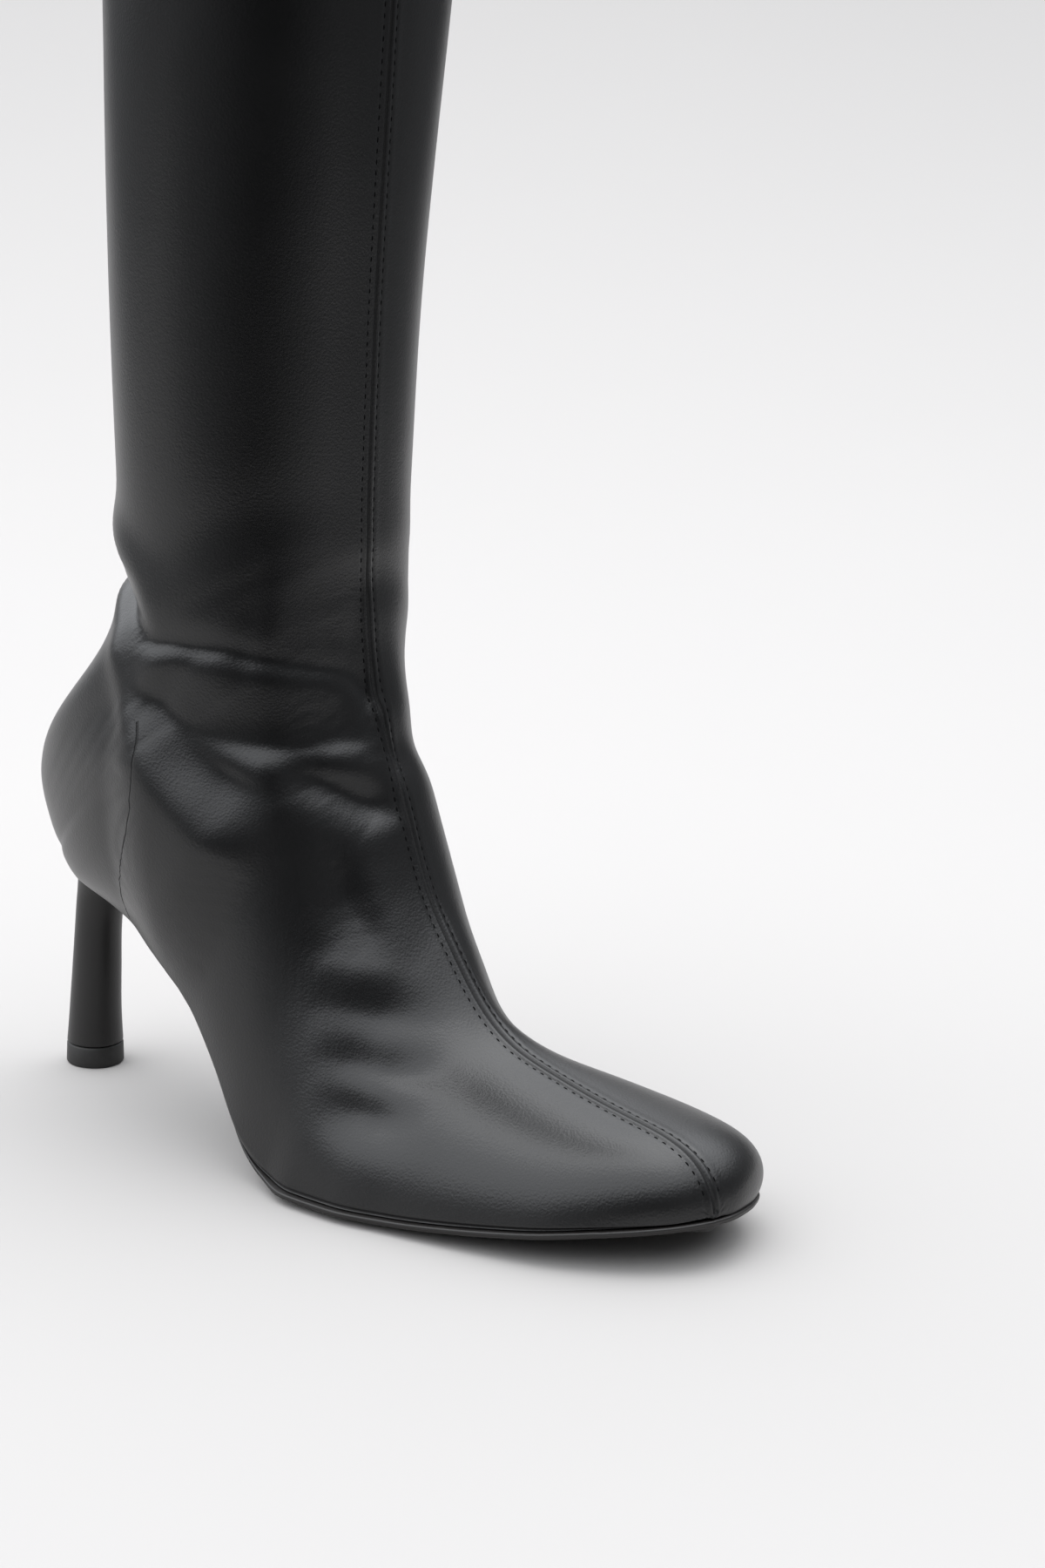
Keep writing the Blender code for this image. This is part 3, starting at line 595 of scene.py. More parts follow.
SKIN_BLACK = (0.0016, 0.0016, 0.0018)
SKIN_WORN = (0.0030, 0.0030, 0.0033)
# Painted shade: the skin's colour in the seams' grooves, a touch darker than its black where shade falls in
# the groove.
SEAM_GROOVE_SHADE = (0.0015, 0.0015, 0.0016)
SKIN_ROUGHNESS = (0.30, 0.38)
SKIN_IOR = 1.52
# A seam's dark line is painted shade in its groove, with the skin also made duller there.
LINE_CORE, COUNTER_LINE, FRONT_LINE = 0.1, 0.45, 0.55  # how far from a seam its dark line goes
LINE_DULL = 0.4  # how much rougher the skin is in such a line
COUNTER_DENT = 0.0004  # metres


def seam_line(tree, row, distance, wide):
    """1 on the seam that the named distance is measured from, dying away to 0 at that width."""
    gap = node(tree, "ShaderNodeAttribute", (-6, row), attribute_name=distance)
    off = node(tree, "ShaderNodeMath", (-5, row), operation="ABSOLUTE")
    tree.links.new(gap.outputs["Fac"], off.inputs[0])
    return soft_step(tree, (-4, row), off.outputs[0], LINE_CORE, wide, 1.0, 0.0)


def stretch_leather():
    made, tree, shader = new_material("black stretch leather")
    shader.inputs["IOR"].default_value = SKIN_IOR
    link = tree.links.new
    cloud = object_noise(tree, (-5, 0), Scale=38.0, Detail=3.0, Roughness=0.55)
    counter = seam_line(tree, 2, "counter_gap", COUNTER_LINE)
    lines = node(tree, "ShaderNodeMath", (-3, 3), operation="MAXIMUM")
    link(counter, lines.inputs[0])
    link(seam_line(tree, 4, "seam_across", FRONT_LINE), lines.inputs[1])
    tone = tone_between(tree, (-3, 0), cloud, SKIN_BLACK, SKIN_WORN)
    # Painted shade: the colour goes darker along the seam lines, over the grooves.
    deep = tone_between(tree, (-2, 0), lines.outputs[0], SKIN_BLACK, SEAM_GROOVE_SHADE)
    link(tone.outputs["Result"], deep.inputs["A"])
    link(deep.outputs["Result"], shader.inputs["Base Color"])
    duller = node(tree, "ShaderNodeMath", (-1, 1), operation="MULTIPLY_ADD", use_clamp=True)
    duller.inputs[1].default_value = LINE_DULL
    link(lines.outputs[0], duller.inputs[0])
    link(value_between(tree, (-2, 1), cloud, *SKIN_ROUGHNESS), duller.inputs[2])
    link(duller.outputs[0], shader.inputs["Roughness"])
    dent = relief(tree, (-2, 3), counter, strength=1.0, depth=COUNTER_DENT, invert=True)
    skin = relief(tree, (-1, 3), grain_height(tree, (-4, 5)), strength=0.5, depth=GRAIN_DEPTH)
    link(dent.outputs["Normal"], skin.inputs["Normal"])
    link(skin.outputs["Normal"], shader.inputs["Normal"])
    return made


LINING_DARK = (0.020, 0.019, 0.018)
LINING_LIGHT = (0.042, 0.040, 0.038)
LINING_ROUGHNESS = 0.85


def knit_lining():
    made, tree, shader = new_material("knit lining")
    link = tree.links.new
    place = node(tree, "ShaderNodeTexCoord", (-5, 0))
    ribs = node(tree, "ShaderNodeTexWave", (-4, 0), bands_direction="DIAGONAL", Scale=420.0, Distortion=1.5)
    link(place.outputs["Object"], ribs.inputs["Vector"])
    tone = tone_between(tree, (-2, 0), ribs.outputs["Fac"], LINING_DARK, LINING_LIGHT)
    link(tone.outputs["Result"], shader.inputs["Base Color"])
    shader.inputs["Roughness"].default_value = LINING_ROUGHNESS
    knit = relief(tree, (-1, 2), ribs.outputs["Fac"], strength=0.4, depth=0.0002)
    link(knit.outputs["Normal"], shader.inputs["Normal"])
    return made


STRETCH_LEATHER = stretch_leather()
KNIT_LINING = knit_lining()
upper.data.materials.append(STRETCH_LEATHER)
upper.data.materials.append(KNIT_LINING)
which = np.zeros(len(upper.data.polygons), np.int32)
which[outer_count : outer_count + inner_count] = 1
upper.data.polygons.foreach_set("material_index", which)
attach(upper, "root")
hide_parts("upper")

# Front seam's stitches: two rows of short lockstitches in black thread, one each side of the groove,
# sewn through the turned edges before the boot is lasted, and one row round the collar's turned edge.
STITCH_PITCH = 2.6
STITCH_LENGTH = 1.9
STITCH_WIDTH = 0.85
STITCH_SINK = 0.28
STITCHES_FROM = 6.0  # along the front seam from the toe's tip
COLLAR_HEM = 6.0


def stitch_tree():
    tree = bpy.data.node_groups.new("row of stitches", "GeometryNodeTree")
    tree.interface.new_socket("Geometry", in_out="INPUT", socket_type="NodeSocketGeometry")
    for name in ("Pitch", "Length", "Width"):
        tree.interface.new_socket(name, in_out="INPUT", socket_type="NodeSocketFloat")
    tree.interface.new_socket("Thread", in_out="INPUT", socket_type="NodeSocketMaterial")
    tree.interface.new_socket("Geometry", in_out="OUTPUT", socket_type="NodeSocketGeometry")
    link = tree.links.new
    start = tree.nodes.new("NodeGroupInput")
    end = tree.nodes.new("NodeGroupOutput")
    curve = node(tree, "GeometryNodeMeshToCurve", (1, 0))
    evenly = node(tree, "GeometryNodeResampleCurve", (2, 0), mode="LENGTH")
    points = node(tree, "GeometryNodeCurveToPoints", (3, 0), mode="EVALUATED")
    outward = node(tree, "GeometryNodeInputNamedAttribute", (2, 2), data_type="FLOAT_VECTOR")
    outward.inputs["Name"].default_value = "outward"
    keep = node(tree, "GeometryNodeStoreNamedAttribute", (3, 1), data_type="FLOAT_VECTOR", domain="POINT")
    keep.inputs["Name"].default_value = "ahead"
    tangent = node(tree, "GeometryNodeInputTangent", (2, 3))
    thread = node(tree, "GeometryNodeMeshUVSphere", (3, 3), Segments=8, Rings=5, Radius=0.5)
    size = node(tree, "ShaderNodeCombineXYZ", (3, 4))
    turned = node(tree, "FunctionNodeAlignRotationToVector", (4, 2), axis="Z")
    ahead = node(tree, "GeometryNodeInputNamedAttribute", (4, 3), data_type="FLOAT_VECTOR")
    ahead.inputs["Name"].default_value = "ahead"
    aimed = node(tree, "FunctionNodeAlignRotationToVector", (5, 2), axis="X", pivot_axis="Z")
    placed = node(tree, "GeometryNodeInstanceOnPoints", (6, 0))
    solid = node(tree, "GeometryNodeRealizeInstances", (7, 0))
    smooth = node(tree, "GeometryNodeSetShadeSmooth", (8, 0))
    coloured = node(tree, "GeometryNodeSetMaterial", (9, 0))
    link(start.outputs["Geometry"], curve.inputs["Mesh"])
    link(curve.outputs["Curve"], evenly.inputs["Curve"])
    link(start.outputs["Pitch"], evenly.inputs["Length"])
    link(evenly.outputs["Curve"], keep.inputs["Geometry"])
    link(tangent.outputs["Tangent"], keep.inputs["Value"])
    link(keep.outputs["Geometry"], points.inputs["Curve"])
    link(points.outputs["Points"], placed.inputs["Points"])
    link(thread.outputs["Mesh"], placed.inputs["Instance"])
    link(start.outputs["Length"], size.inputs["X"])
    link(start.outputs["Width"], size.inputs["Y"])
    link(start.outputs["Width"], size.inputs["Z"])
    link(size.outputs["Vector"], placed.inputs["Scale"])
    link(outward.outputs["Attribute"], turned.inputs["Vector"])
    link(turned.outputs["Rotation"], aimed.inputs["Rotation"])
    link(ahead.outputs["Attribute"], aimed.inputs["Vector"])
    link(aimed.outputs["Rotation"], placed.inputs["Rotation"])
    link(placed.outputs["Instances"], solid.inputs["Geometry"])
    link(solid.outputs["Geometry"], smooth.inputs["Geometry"])
    link(smooth.outputs["Geometry"], coloured.inputs["Geometry"])
    link(start.outputs["Thread"], coloured.inputs["Material"])
    link(coloured.outputs["Geometry"], end.inputs["Geometry"])
    return tree


THREAD_BLACK = (0.0008, 0.0008, 0.0009)
THREAD_ROUGHNESS, THREAD_SPECULAR = 0.95, 0.12


def toned_material(name, first, second, stretch=None, **noise):
    """A material whose colour goes from the first to the second with a noise, which is given back too."""
    made, tree, shader = new_material(name)
    mottle = object_noise(tree, (-3, 0), stretch, **noise)
    tone = tone_between(tree, (-2, 0), mottle, first, second)
    tree.links.new(tone.outputs["Result"], shader.inputs["Base Color"])
    return made, tree, shader, mottle


def thread_material():
    made, _, shader, _ = toned_material("black thread", THREAD_BLACK, SKIN_BLACK, Scale=2600.0, Detail=2.0)
    shader.inputs["Roughness"].default_value = THREAD_ROUGHNESS
    shader.inputs["Specular IOR Level"].default_value = THREAD_SPECULAR
    return made


BLACK_THREAD = thread_material()
STITCH_TREE = stitch_tree()


def stitch_row(name, rows_of_points, rows_of_normals):
    """Stitches along each line of points, as one mesh."""
    points, edges, normals = [], [], []
    for line, outward in zip(rows_of_points, rows_of_normals):
        first = len(points)
        points.extend((line * MM).tolist())
        normals.extend(outward.tolist())
        edges.extend((first + n, first + n + 1) for n in range(len(line) - 1))
    mesh = bpy.data.meshes.new(name + " line")
    mesh.from_pydata(points, edges, [])
    layer = mesh.attributes.new("outward", "FLOAT_VECTOR", "POINT")
    layer.data.foreach_set("vector", np.array(normals, np.float32).ravel())
    guide = bpy.data.objects.new(name + " line", mesh)
    bpy.context.scene.collection.objects.link(guide)
    made = guide.modifiers.new("stitches", "NODES")
    made.node_group = STITCH_TREE
    values = {
        "Pitch": STITCH_PITCH * MM,
        "Length": STITCH_LENGTH * MM,
        "Width": STITCH_WIDTH * MM,
        "Thread": BLACK_THREAD,
    }
    for socket in STITCH_TREE.interface.items_tree:
        if socket.in_out == "INPUT" and socket.name in values:
            made[socket.identifier] = values[socket.name]
    bpy.context.view_layer.update()
    seen = guide.evaluated_get(bpy.context.evaluated_depsgraph_get())
    piece = bpy.data.objects.new(name, bpy.data.meshes.new_from_object(seen))
    bpy.context.scene.collection.objects.link(piece)
    bpy.data.objects.remove(guide, do_unlink=True)
    return piece


outer_grid = outer_points.reshape(ROW_COUNT, COLUMN_COUNT, 3)
outward_grid = OUTWARD.reshape(ROW_COUNT, COLUMN_COUNT, 3)


def along_seam(off):
    """A line on the skin at that distance from the front seam, and the skin's normals there."""
    first = int(np.searchsorted(ALONG, STITCHES_FROM))
    line, outward = [], []
    for i in range(first, ROW_COUNT):
        line.append([np.interp(off, ACROSS[i], outer_grid[i, :, k]) for k in range(3)])
        outward.append([np.interp(off, ACROSS[i], outward_grid[i, :, k]) for k in range(3)])
    line, outward = np.array(line), np.array(outward)
    return line - outward * STITCH_SINK, outward


seam_rows = [along_seam(STITCH_OFF), along_seam(-STITCH_OFF)]
hem_height = SECTIONS[-1].front_z - COLLAR_HEM
hem_row = min(range(CLOSING, ROW_COUNT), key=lambda i: abs(outer_grid[i, MIDDLE, 2] - hem_height))
hem_line = outer_grid[hem_row] - outward_grid[hem_row] * STITCH_SINK
seam_rows.append((hem_line, outward_grid[hem_row]))
stitches = stitch_row("seam_stitches", [row[0] for row in seam_rows], [row[1] for row in seam_rows])
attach(stitches, "root")

# Insole: a thin board covered in dark lining, the floor of the boot; the upper's lower edge is drawn under it
# and cemented. Only a little of it shows, down the shaft.
insole_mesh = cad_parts["insole"].data.copy()
insole = bpy.data.objects.new("insole_board", insole_mesh)
bpy.context.scene.collection.objects.link(insole)
edit = bmesh.new()
edit.from_mesh(insole_mesh)
bmesh.ops.remove_doubles(edit, verts=edit.verts, dist=1e-6)
edit.to_mesh(insole_mesh)
edit.free()
insole_mesh.shade_smooth()
insole_mesh.materials.clear()
insole_mesh.materials.append(KNIT_LINING)
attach(insole, "root")
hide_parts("insole")

# Outsole: a thin dark sole, cemented on, proud of the upper round the forefoot with a trimmed and waxed edge,
# and thinned under the waist until only a line of it shows.
GAP = 0.3
SOLE_FRONT, SOLE_WAIST = 3.3, 2.0
SOLE_REACH, SOLE_TUCK = 2.3, -0.2
FRONT_FROM, FRONT_TO = 88.0, 118.0
TREAD_FROM, TREAD_TO = 115.0, 140.0
TOE_FROM, TOE_SLOPE = 200.0, 0.3  # ahead of here the sole takes only that share of the edge's slope
SLOPE_GAP = 0.6  # how much the gap above the sole opens with the slope
NARROW_SHARE, NARROW_REST = 0.25, 0.2  # most that an inset takes of a narrow sole's width, and of itself
EDGE_OUT = last_points[IDS[: CLOSING + 1, 0]]
EDGE_IN = last_points[IDS[: CLOSING + 1, -1]]

Lip = namedtuple("Lip", "name inset share")
# One row per line round the sole's edge, from the top to the underside: how far inside the outline it lies,
# and how far down the edge.
SOLE_EDGE = [
    Lip("top", 3.0, 0.0),
    Lip("top edge", 0.35, 0.0),
    Lip("rim", 0.10, 0.05),
    Lip("rim side", 0.0, 0.14),
    Lip("rim foot", 0.06, 0.24),
    Lip("groove", 0.30, 0.30),
    Lip("side", 0.22, 0.37),
    Lip("side low", 0.6, 0.48),
    Lip("bevel", 1.6, 0.58),
    Lip("bevel low", 4.0, 0.76),
    Lip("tread edge", 10.0, 1.0),
]


def sole_outline(reach):
    """The lower edge of the last moved out in plan, as one loop, with each point's row."""
    loop = np.concatenate([EDGE_OUT, EDGE_IN[-2:0:-1]])
    rows = np.concatenate([np.arange(CLOSING + 1), np.arange(CLOSING - 1, 0, -1)])
    along = np.roll(loop, -2, axis=0)[:, :2] - np.roll(loop, 2, axis=0)[:, :2]
    along /= np.linalg.norm(along, axis=1)[:, None]
    outward = np.stack([-along[:, 1], along[:, 0]], axis=1)
    if np.sum((loop[:, :2] - loop[:, :2].mean(axis=0)) * outward) < 0:
        outward = -outward
    return loop, rows, outward, reach[rows]


share = np.clip((EDGE_X - FRONT_FROM) / (FRONT_TO - FRONT_FROM), 0.0, 1.0)
share = share * share * (3.0 - 2.0 * share)
tread = (EDGE_X > TREAD_FROM) & (EDGE_X < TREAD_TO)
sole_slope = np.where(EDGE_X > TOE_FROM, TOE_SLOPE, 1.0) * edge_slope
sole_slope[tread] = 0.0
steep = np.sqrt(1.0 + sole_slope**2)
sole_top = EDGE_Z - GAP * (steep + SLOPE_GAP * np.abs(sole_slope))
sole_low = sole_top - (SOLE_WAIST + (SOLE_FRONT - SOLE_WAIST) * share) * steep
sole_low[tread] = 0.0
sole_low = np.maximum(sole_low, 0.0)
loop, loop_rows, loop_out, loop_reach = sole_outline(SOLE_TUCK + (SOLE_REACH - SOLE_TUCK) * share)
loop_wide = np.abs(EDGE_OUT[loop_rows, 1] - EDGE_IN[loop_rows, 1])
rings = []
for lip in SOLE_EDGE:
    inset = np.minimum(lip.inset, NARROW_SHARE * loop_wide + NARROW_REST * lip.inset)
    ring = loop.copy()
    ring[:, :2] += loop_out * (loop_reach - inset)[:, None]
    climb = sole_slope[loop_rows] * (ring[:, 0] - loop[:, 0])
    ring[:, 2] = (sole_top * (1.0 - lip.share) + sole_low * lip.share)[loop_rows] + climb
    rings.append(ring)


def faces_between(levels, count):
    """Faces that join rings of that count of points, each to the next."""
    made = []
    for first in range(0, (levels - 1) * count, count):
        for n in range(count):
            m = (n + 1) % count
            made.append([first + n, first + m, first + count + m, first + count + n])
    return made


count = len(loop)
sole_faces = faces_between(len(rings), count)
for level, turned in ((0, False), (len(rings) - 1, True)):
    for n in range(CLOSING):
        left, right = (count - n) % count, count - n - 1
        face = [level * count + v for v in dict.fromkeys((n, n + 1, right, left))]
        if len(face) > 2:
            sole_faces.append(face[::-1] if turned else face)
outsole = mesh_object("outsole_sheet", np.concatenate(rings), sole_faces)
edit = bmesh.new()
edit.from_mesh(outsole.data)
bmesh.ops.recalc_face_normals(edit, faces=edit.faces)
edit.to_mesh(outsole.data)
edit.free()

SOLE_DARK = (0.0042, 0.0036, 0.0034)
SOLE_WARM = (0.0105, 0.0090, 0.0084)
SOLE_ROUGHNESS = (0.34, 0.52)
SOLE_FIBRES = {"stretch": (1.0, 1.0, 9.0), "Scale": 180.0, "Detail": 4.0, "Roughness": 0.65}


def waxed_sole():
    made, tree, shader, fibre = toned_material("waxed sole edge", SOLE_DARK, SOLE_WARM, **SOLE_FIBRES)
    tree.links.new(value_between(tree, (-2, 1), fibre, *SOLE_ROUGHNESS), shader.inputs["Roughness"])
    ridges = relief(tree, (-1, 2), fibre, strength=0.3, depth=0.00012)
    tree.links.new(ridges.outputs["Normal"], shader.inputs["Normal"])
    return made


outsole.data.materials.append(waxed_sole())
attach(outsole, "root")
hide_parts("outsole")

# Heel: a slim turned column, covered in the same dark skin drawn smooth round it and joined down its front,
# screwed up under the seat; it is thinnest near the top and flares to the floor.
Ring = namedtuple("Ring", "name height centre_x half_x half_y")
LIFT_THICK = 6.0
HEEL_RINGS = [
    Ring("foot", LIFT_THICK + GAP, 0.0, 7.9, 7.9),
    Ring("flare", 16.0, 0.2, 7.3, 7.3),
    Ring("stem", 28.0, 0.8, 6.9, 6.9),
    Ring("stem top", 42.0, 1.6, 6.5, 6.6),
    Ring("neck", 50.0, 2.9, 6.8, 7.0),
    Ring("cup", 56.0, 5.4, 7.9, 8.6),
]
CUP_RIM = Ring("cup rim", 0.0, 8.6, 9.6, 10.0)
RIM_PARTS, RIM_DROP = (1.0, 0.96, 0.7, 0.4, 0.1), 0.5  # rings that close the cup, drop of its edge
HEEL_CORNERS, HEEL_STEPS = 64, 40
FOOT_BEVEL, FOOT_BEVEL_HIGH, FOOT_SIDE = 0.3, 0.25, 0.6  # how far in, how high, and where the side starts


def ring_points(ring):
    turn = np.linspace(0.0, 2.0 * math.pi, HEEL_CORNERS, endpoint=False)
    x = ring.centre_x + ring.half_x * np.cos(turn)
    y = ring.half_y * np.sin(turn)
    return np.stack([x, y, np.full(HEEL_CORNERS, ring.height)], axis=1)


def turned_piece(name, rings):
    """A closed piece through the rings, from the lowest up."""
    corners = len(rings[0])
    points = np.concatenate(rings + [rings[0].mean(axis=0)[None], rings[-1].mean(axis=0)[None]])
    low, high = len(points) - 2, len(points) - 1
    faces = faces_between(len(rings), corners)
    last = (len(rings) - 1) * corners
    for n in range(corners):
        m = (n + 1) % corners
        faces.append([m, n, low])
        faces.append([last + n, last + m, high])
    return mesh_object(name, points, faces)


def under_sole(ring):
    """Points of a ring, set against the underside of the sole."""
    order = np.argsort(EDGE_X)
    points = ring_points(ring)
    points[:, 2] = np.interp(points[:, 0], EDGE_X[order], sole_low[order]) - GAP
    return points


levels = np.array([ring.height for ring in HEEL_RINGS])
shape = np.array([ring[2:] for ring in HEEL_RINGS])
column_heights = np.linspace(levels[0] + FOOT_SIDE, levels[-1], HEEL_STEPS)
heights = np.concatenate([[levels[0], levels[0] + FOOT_BEVEL_HIGH], column_heights])
column = pchip(levels, shape, heights)
column[0, 1:] -= FOOT_BEVEL
heel_rings = [ring_points(Ring("", z, *row)) for z, row in zip(heights, column)]
for part in RIM_PARTS:
    rim = CUP_RIM._replace(half_x=CUP_RIM.half_x * part, half_y=CUP_RIM.half_y * part)
    heel_rings.append(under_sole(rim) - np.array([0.0, 0.0, RIM_DROP if part == 1.0 else 0.0]))
heel = turned_piece("heel_column", heel_rings)

HEEL_DARK = (0.0032, 0.0028, 0.0027)
HEEL_WARM = (0.0080, 0.0070, 0.0066)
HEEL_ROUGHNESS = (0.36, 0.50)
HEEL_PULLS = {"stretch": (1.0, 1.0, 0.12), "Scale": 260.0, "Detail": 3.0, "Roughness": 0.6}


def heel_cover():
    made, tree, shader, pulls = toned_material("covered heel", HEEL_DARK, HEEL_WARM, **HEEL_PULLS)
    tree.links.new(value_between(tree, (-2, 1), pulls, *HEEL_ROUGHNESS), shader.inputs["Roughness"])
    grain = relief(tree, (-1, 3), grain_height(tree, (-3, 3)), strength=0.25, depth=GRAIN_DEPTH)
    tree.links.new(grain.outputs["Normal"], shader.inputs["Normal"])
    return made


heel.data.materials.append(heel_cover())
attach(heel, "root")
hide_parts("heel")

# Top lift: the small black wearing piece, moulded in hard rubber with a softened edge, and pinned under the
# heel so that it can be changed when it is worn.
LIFT_RINGS = [
    Ring("tread", 0.0, 0.0, 7.5, 7.5),
    Ring("tread edge", 0.15, 0.0, 7.85, 7.85),
    Ring("side", 0.6, 0.0, 8.1, 8.1),
    Ring("side top", 5.6, 0.0, 7.95, 7.95),
    Ring("top", LIFT_THICK, 0.0, 7.7, 7.7),
]
top_lift = turned_piece("heel_lift", [ring_points(ring) for ring in LIFT_RINGS])
RUBBER_BLACK = (0.008, 0.008, 0.008)
RUBBER_SCUFF = (0.022, 0.021, 0.020)
RUBBER_ROUGHNESS = 0.58
RUBBER_MARKS = {"Scale": 420.0, "Detail": 4.0, "Roughness": 0.7}


def lift_rubber():
    made, tree, shader, scuff = toned_material("lift rubber", RUBBER_BLACK, RUBBER_SCUFF, **RUBBER_MARKS)
    shader.inputs["Roughness"].default_value = RUBBER_ROUGHNESS
    marks = relief(tree, (-1, 2), scuff, strength=0.3, depth=0.0001)
    tree.links.new(marks.outputs["Normal"], shader.inputs["Normal"])
    return made


top_lift.data.materials.append(lift_rubber())
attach(top_lift, "root")
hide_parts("top_lift")

# Studio: a table covered with white paper that sweeps up slowly behind the boot, under a wide white ceiling
# and with a large soft box above it; the room is dim in front of the table. Lengths here are metres.
CAMERA_TURN = math.radians(37.65)
VIEW_RIGHT = np.array([math.cos(CAMERA_TURN), math.sin(CAMERA_TURN), 0.0])
VIEW_AHEAD = np.array([-math.sin(CAMERA_TURN), math.cos(CAMERA_TURN), 0.0])
UPWARD = np.array([0.0, 0.0, 1.0])
BOOT_MIDDLE = np.array([0.095, 0.0, 0.0])
PAPER_FRONT, PAPER_LEFT, PAPER_RIGHT = -0.28, -1.0, 0.5  # from the boot's middle
SWEEP_FROM, SWEEP_RADIUS, SWEEP_BEND, SWEEP_STEPS = 0.3, 2.4, 56.0, 41
PAPER_WHITE = (0.405, 0.394, 0.385)
PAPER_SHADE = 0.985  # darkest of its tones, as a share of its white
PAPER_ROUGHNESS, PAPER_SPECULAR = 0.9, 0.2
bend = np.radians(np.linspace(0.0, SWEEP_BEND, SWEEP_STEPS))
sweep = [(PAPER_FRONT, 0.0), (0.0, 0.0)]
sweep += [(SWEEP_FROM + SWEEP_RADIUS * math.sin(a), SWEEP_RADIUS * (1.0 - math.cos(a))) for a in bend]
paper_points, paper_faces = [], []
for away, high in sweep:
    for right in (PAPER_LEFT, PAPER_RIGHT):
        paper_points.append(BOOT_MIDDLE + VIEW_AHEAD * away + VIEW_RIGHT * right + UPWARD * high)
for n in range(len(sweep) - 1):
    paper_faces.append([2 * n, 2 * n + 1, 2 * n + 3, 2 * n + 2])
floor_mesh = bpy.data.meshes.new("floor")
floor_mesh.from_pydata([p.tolist() for p in paper_points], [], paper_faces)
floor_mesh.shade_smooth()
floor = bpy.data.objects.new("floor", floor_mesh)
bpy.context.scene.collection.objects.link(floor)
shade = [PAPER_SHADE * part for part in PAPER_WHITE]
paper, _, paper_shader, _ = toned_material("white paper", PAPER_WHITE, shade, Scale=6.0, Detail=3.0)
paper_shader.inputs["Roughness"].default_value = PAPER_ROUGHNESS
paper_shader.inputs["Specular IOR Level"].default_value = PAPER_SPECULAR
floor_mesh.materials.append(paper)

BOX_RIGHT, BOX_AHEAD, BOX_UP = -0.2, 0.2, 1.5  # from the boot's middle
BOX_WIDE, BOX_HIGH, BOX_POWER = 2.2, 1.4, 19.0


def standing(across, up, back, place):
    """The matrix of an object with its own axes across, up and back, at that place."""
    turn = np.eye(4)
    turn[:3, 0], turn[:3, 1], turn[:3, 2], turn[:3, 3] = across, up, back, place
    return turn.T.tolist()


box_data = bpy.data.lights.new("soft box", "AREA")
box_data.shape = "RECTANGLE"
box_data.size, box_data.size_y = BOX_WIDE, BOX_HIGH
box_data.energy = BOX_POWER
soft_box = bpy.data.objects.new("soft box", box_data)
bpy.context.scene.collection.objects.link(soft_box)
box_at = BOOT_MIDDLE + VIEW_RIGHT * BOX_RIGHT + VIEW_AHEAD * BOX_AHEAD + UPWARD * BOX_UP
box_back = (box_at - BOOT_MIDDLE) / np.linalg.norm(box_at - BOOT_MIDDLE)
box_back -= VIEW_RIGHT * np.dot(box_back, VIEW_RIGHT)
box_back /= np.linalg.norm(box_back)
soft_box.matrix_world = standing(VIEW_RIGHT, np.cross(box_back, VIEW_RIGHT), box_back, box_at)

CEILING_GLOW = 2.2
CEILING_TINT = (0.965, 0.99, 1.03)
CEILING_FROM, CEILING_FULL = 0.48, 0.72  # height of a direction, 1 straight up
LEAN_LEFT, LEAN_BACK = 0.45, 0.15  # how much lower the ceiling's light comes on the left and behind
AIR_LOW, AIR_LEFT, AIR_RIGHT = 0.04, 0.2, 0.17  # light of the room all round, and more on each side
LEFT_FROM, RIGHT_FROM, SIDE_FULL = 0.0, 0.2, 0.9  # where that light starts and is full, 1 sideways
world = bpy.data.worlds.new("studio air")
world.use_nodes = True
bpy.context.scene.world = world
air = world.node_tree
background = air.nodes["Background"]
background.inputs["Color"].default_value = (*CEILING_TINT, 1.0)
way = node(air, "ShaderNodeTexCoord", (-9, 0))
height = node(air, "ShaderNodeSeparateXYZ", (-8, 1))
air.links.new(way.outputs["Generated"], height.inputs["Vector"])
level = node(air, "ShaderNodeVectorMath", (-8, 0), operation="MULTIPLY")
level.inputs[1].default_value = (1.0, 1.0, 0.0)
air.links.new(way.outputs["Generated"], level.inputs[0])
bearing = node(air, "ShaderNodeVectorMath", (-7, 0), operation="NORMALIZE")
air.links.new(level.outputs["Vector"], bearing.inputs[0])
leaning = height.outputs["Z"]
sides_lit = []
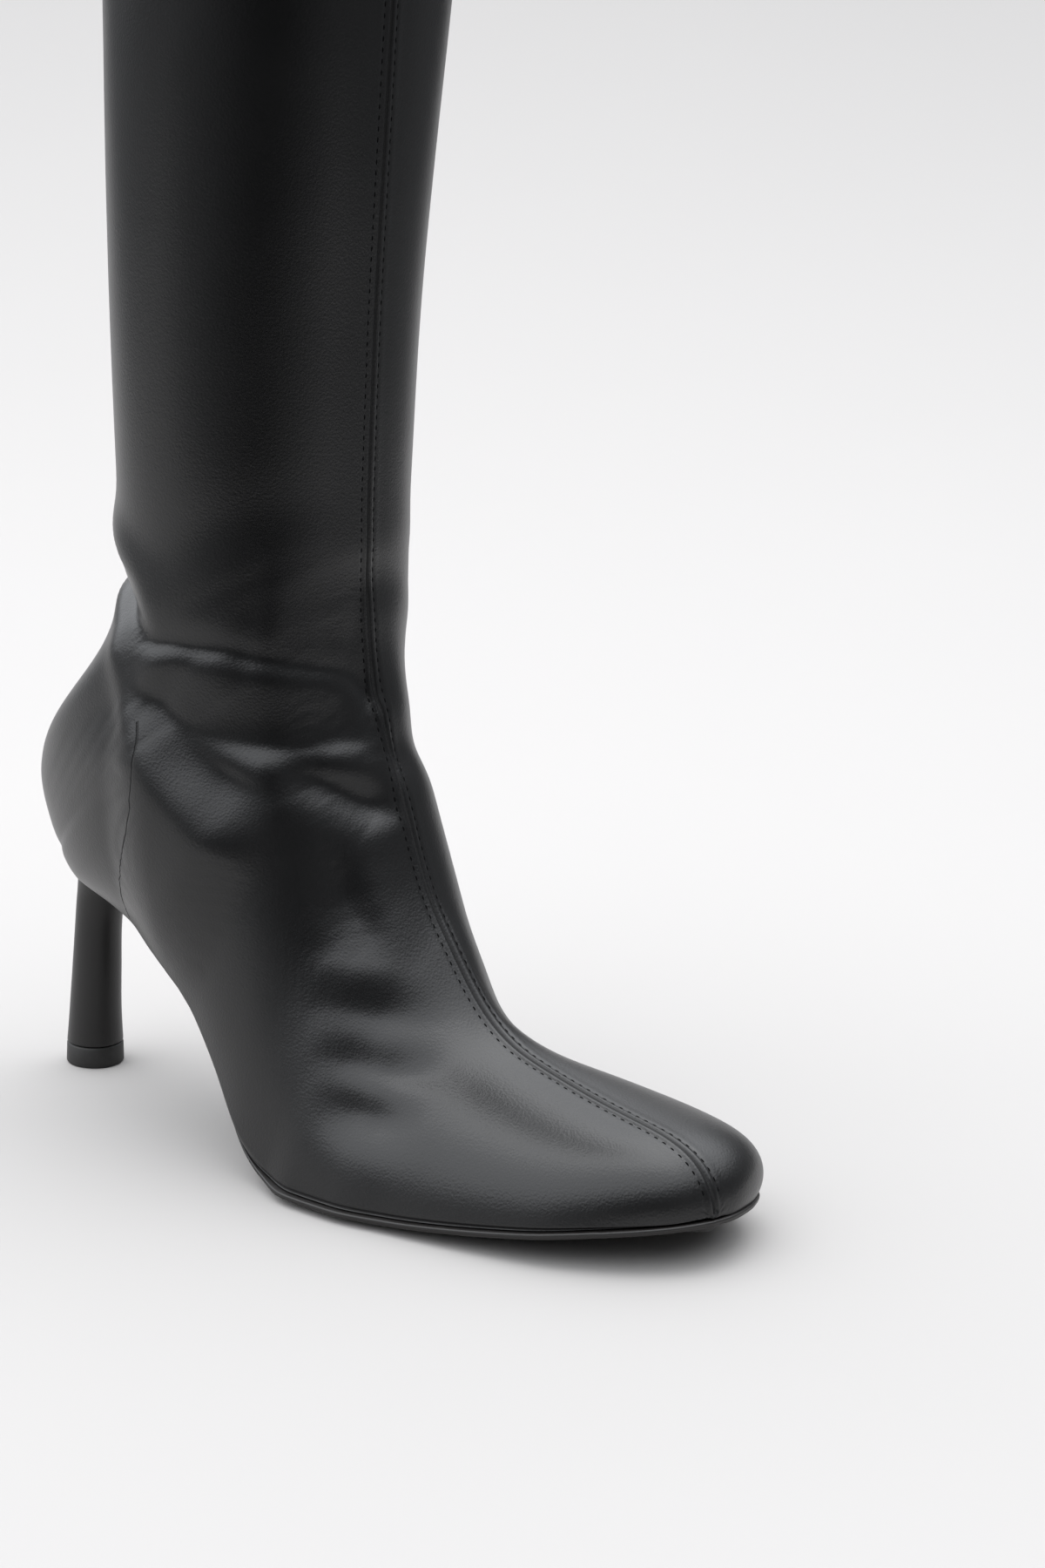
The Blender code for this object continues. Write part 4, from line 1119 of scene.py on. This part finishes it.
for n, (toward, lean) in enumerate(((-VIEW_RIGHT, LEAN_LEFT), (VIEW_AHEAD, LEAN_BACK), (VIEW_RIGHT, 0.0))):
    part = node(air, "ShaderNodeVectorMath", (-6, n), operation="DOT_PRODUCT")
    part.inputs[1].default_value = toward.tolist()
    air.links.new(bearing.outputs["Vector"], part.inputs[0])
    only = node(air, "ShaderNodeMath", (-5, n), operation="MAXIMUM")
    air.links.new(part.outputs["Value"], only.inputs[0])
    only.inputs[1].default_value = 0.0
    sides_lit.append(only.outputs[0])
    if lean:
        lower = node(air, "ShaderNodeMath", (-4, n), operation="MULTIPLY_ADD")
        lower.inputs[1].default_value = lean
        air.links.new(only.outputs[0], lower.inputs[0])
        air.links.new(leaning, lower.inputs[2])
        leaning = lower.outputs[0]
ceiling = soft_step(air, (-3, 1), leaning, CEILING_FROM, CEILING_FULL, AIR_LOW, CEILING_GLOW)
glow = node(air, "ShaderNodeMath", (-1, 0), operation="ADD")
left_air = soft_step(air, (-3, 0), sides_lit[0], LEFT_FROM, SIDE_FULL, 0.0, AIR_LEFT)
right_air = soft_step(air, (-3, 2), sides_lit[2], RIGHT_FROM, SIDE_FULL, 0.0, AIR_RIGHT)
side_air = node(air, "ShaderNodeMath", (-2, 1), operation="ADD")
air.links.new(left_air, side_air.inputs[0])
air.links.new(right_air, side_air.inputs[1])
air.links.new(ceiling, glow.inputs[0])
air.links.new(side_air.outputs[0], glow.inputs[1])
air.links.new(glow.outputs[0], background.inputs["Strength"])

# Camera: at the photograph's angle, in front of the boot on its outer side and a little above it, slightly
# rolled, with the shaft running out of the top of the picture.
CAMERA_AT = (553.18, -521.91, 276.81)  # millimetres
CAMERA_PITCH = math.radians(14.29)
CAMERA_ROLL = math.radians(2.0)
LENS, SENSOR = 64.0, 36.0
CLIP_NEAR, CLIP_FAR = 0.01, 200.0
camera_data = bpy.data.cameras.new("camera")
camera_data.lens = LENS
camera_data.sensor_width = SENSOR
camera_data.clip_start = CLIP_NEAR
camera_data.clip_end = CLIP_FAR
camera = bpy.data.objects.new("camera", camera_data)
bpy.context.scene.collection.objects.link(camera)
up = math.sin(CAMERA_PITCH) * VIEW_AHEAD + math.cos(CAMERA_PITCH) * UPWARD
back = -math.cos(CAMERA_PITCH) * VIEW_AHEAD + math.sin(CAMERA_PITCH) * UPWARD
across_view = math.cos(CAMERA_ROLL) * VIEW_RIGHT + math.sin(CAMERA_ROLL) * up
up_view = -math.sin(CAMERA_ROLL) * VIEW_RIGHT + math.cos(CAMERA_ROLL) * up
camera.matrix_world = standing(across_view, up_view, back, np.array(CAMERA_AT) * MM)
bpy.context.scene.camera = camera
bpy.context.scene.view_settings.view_transform = "Standard"
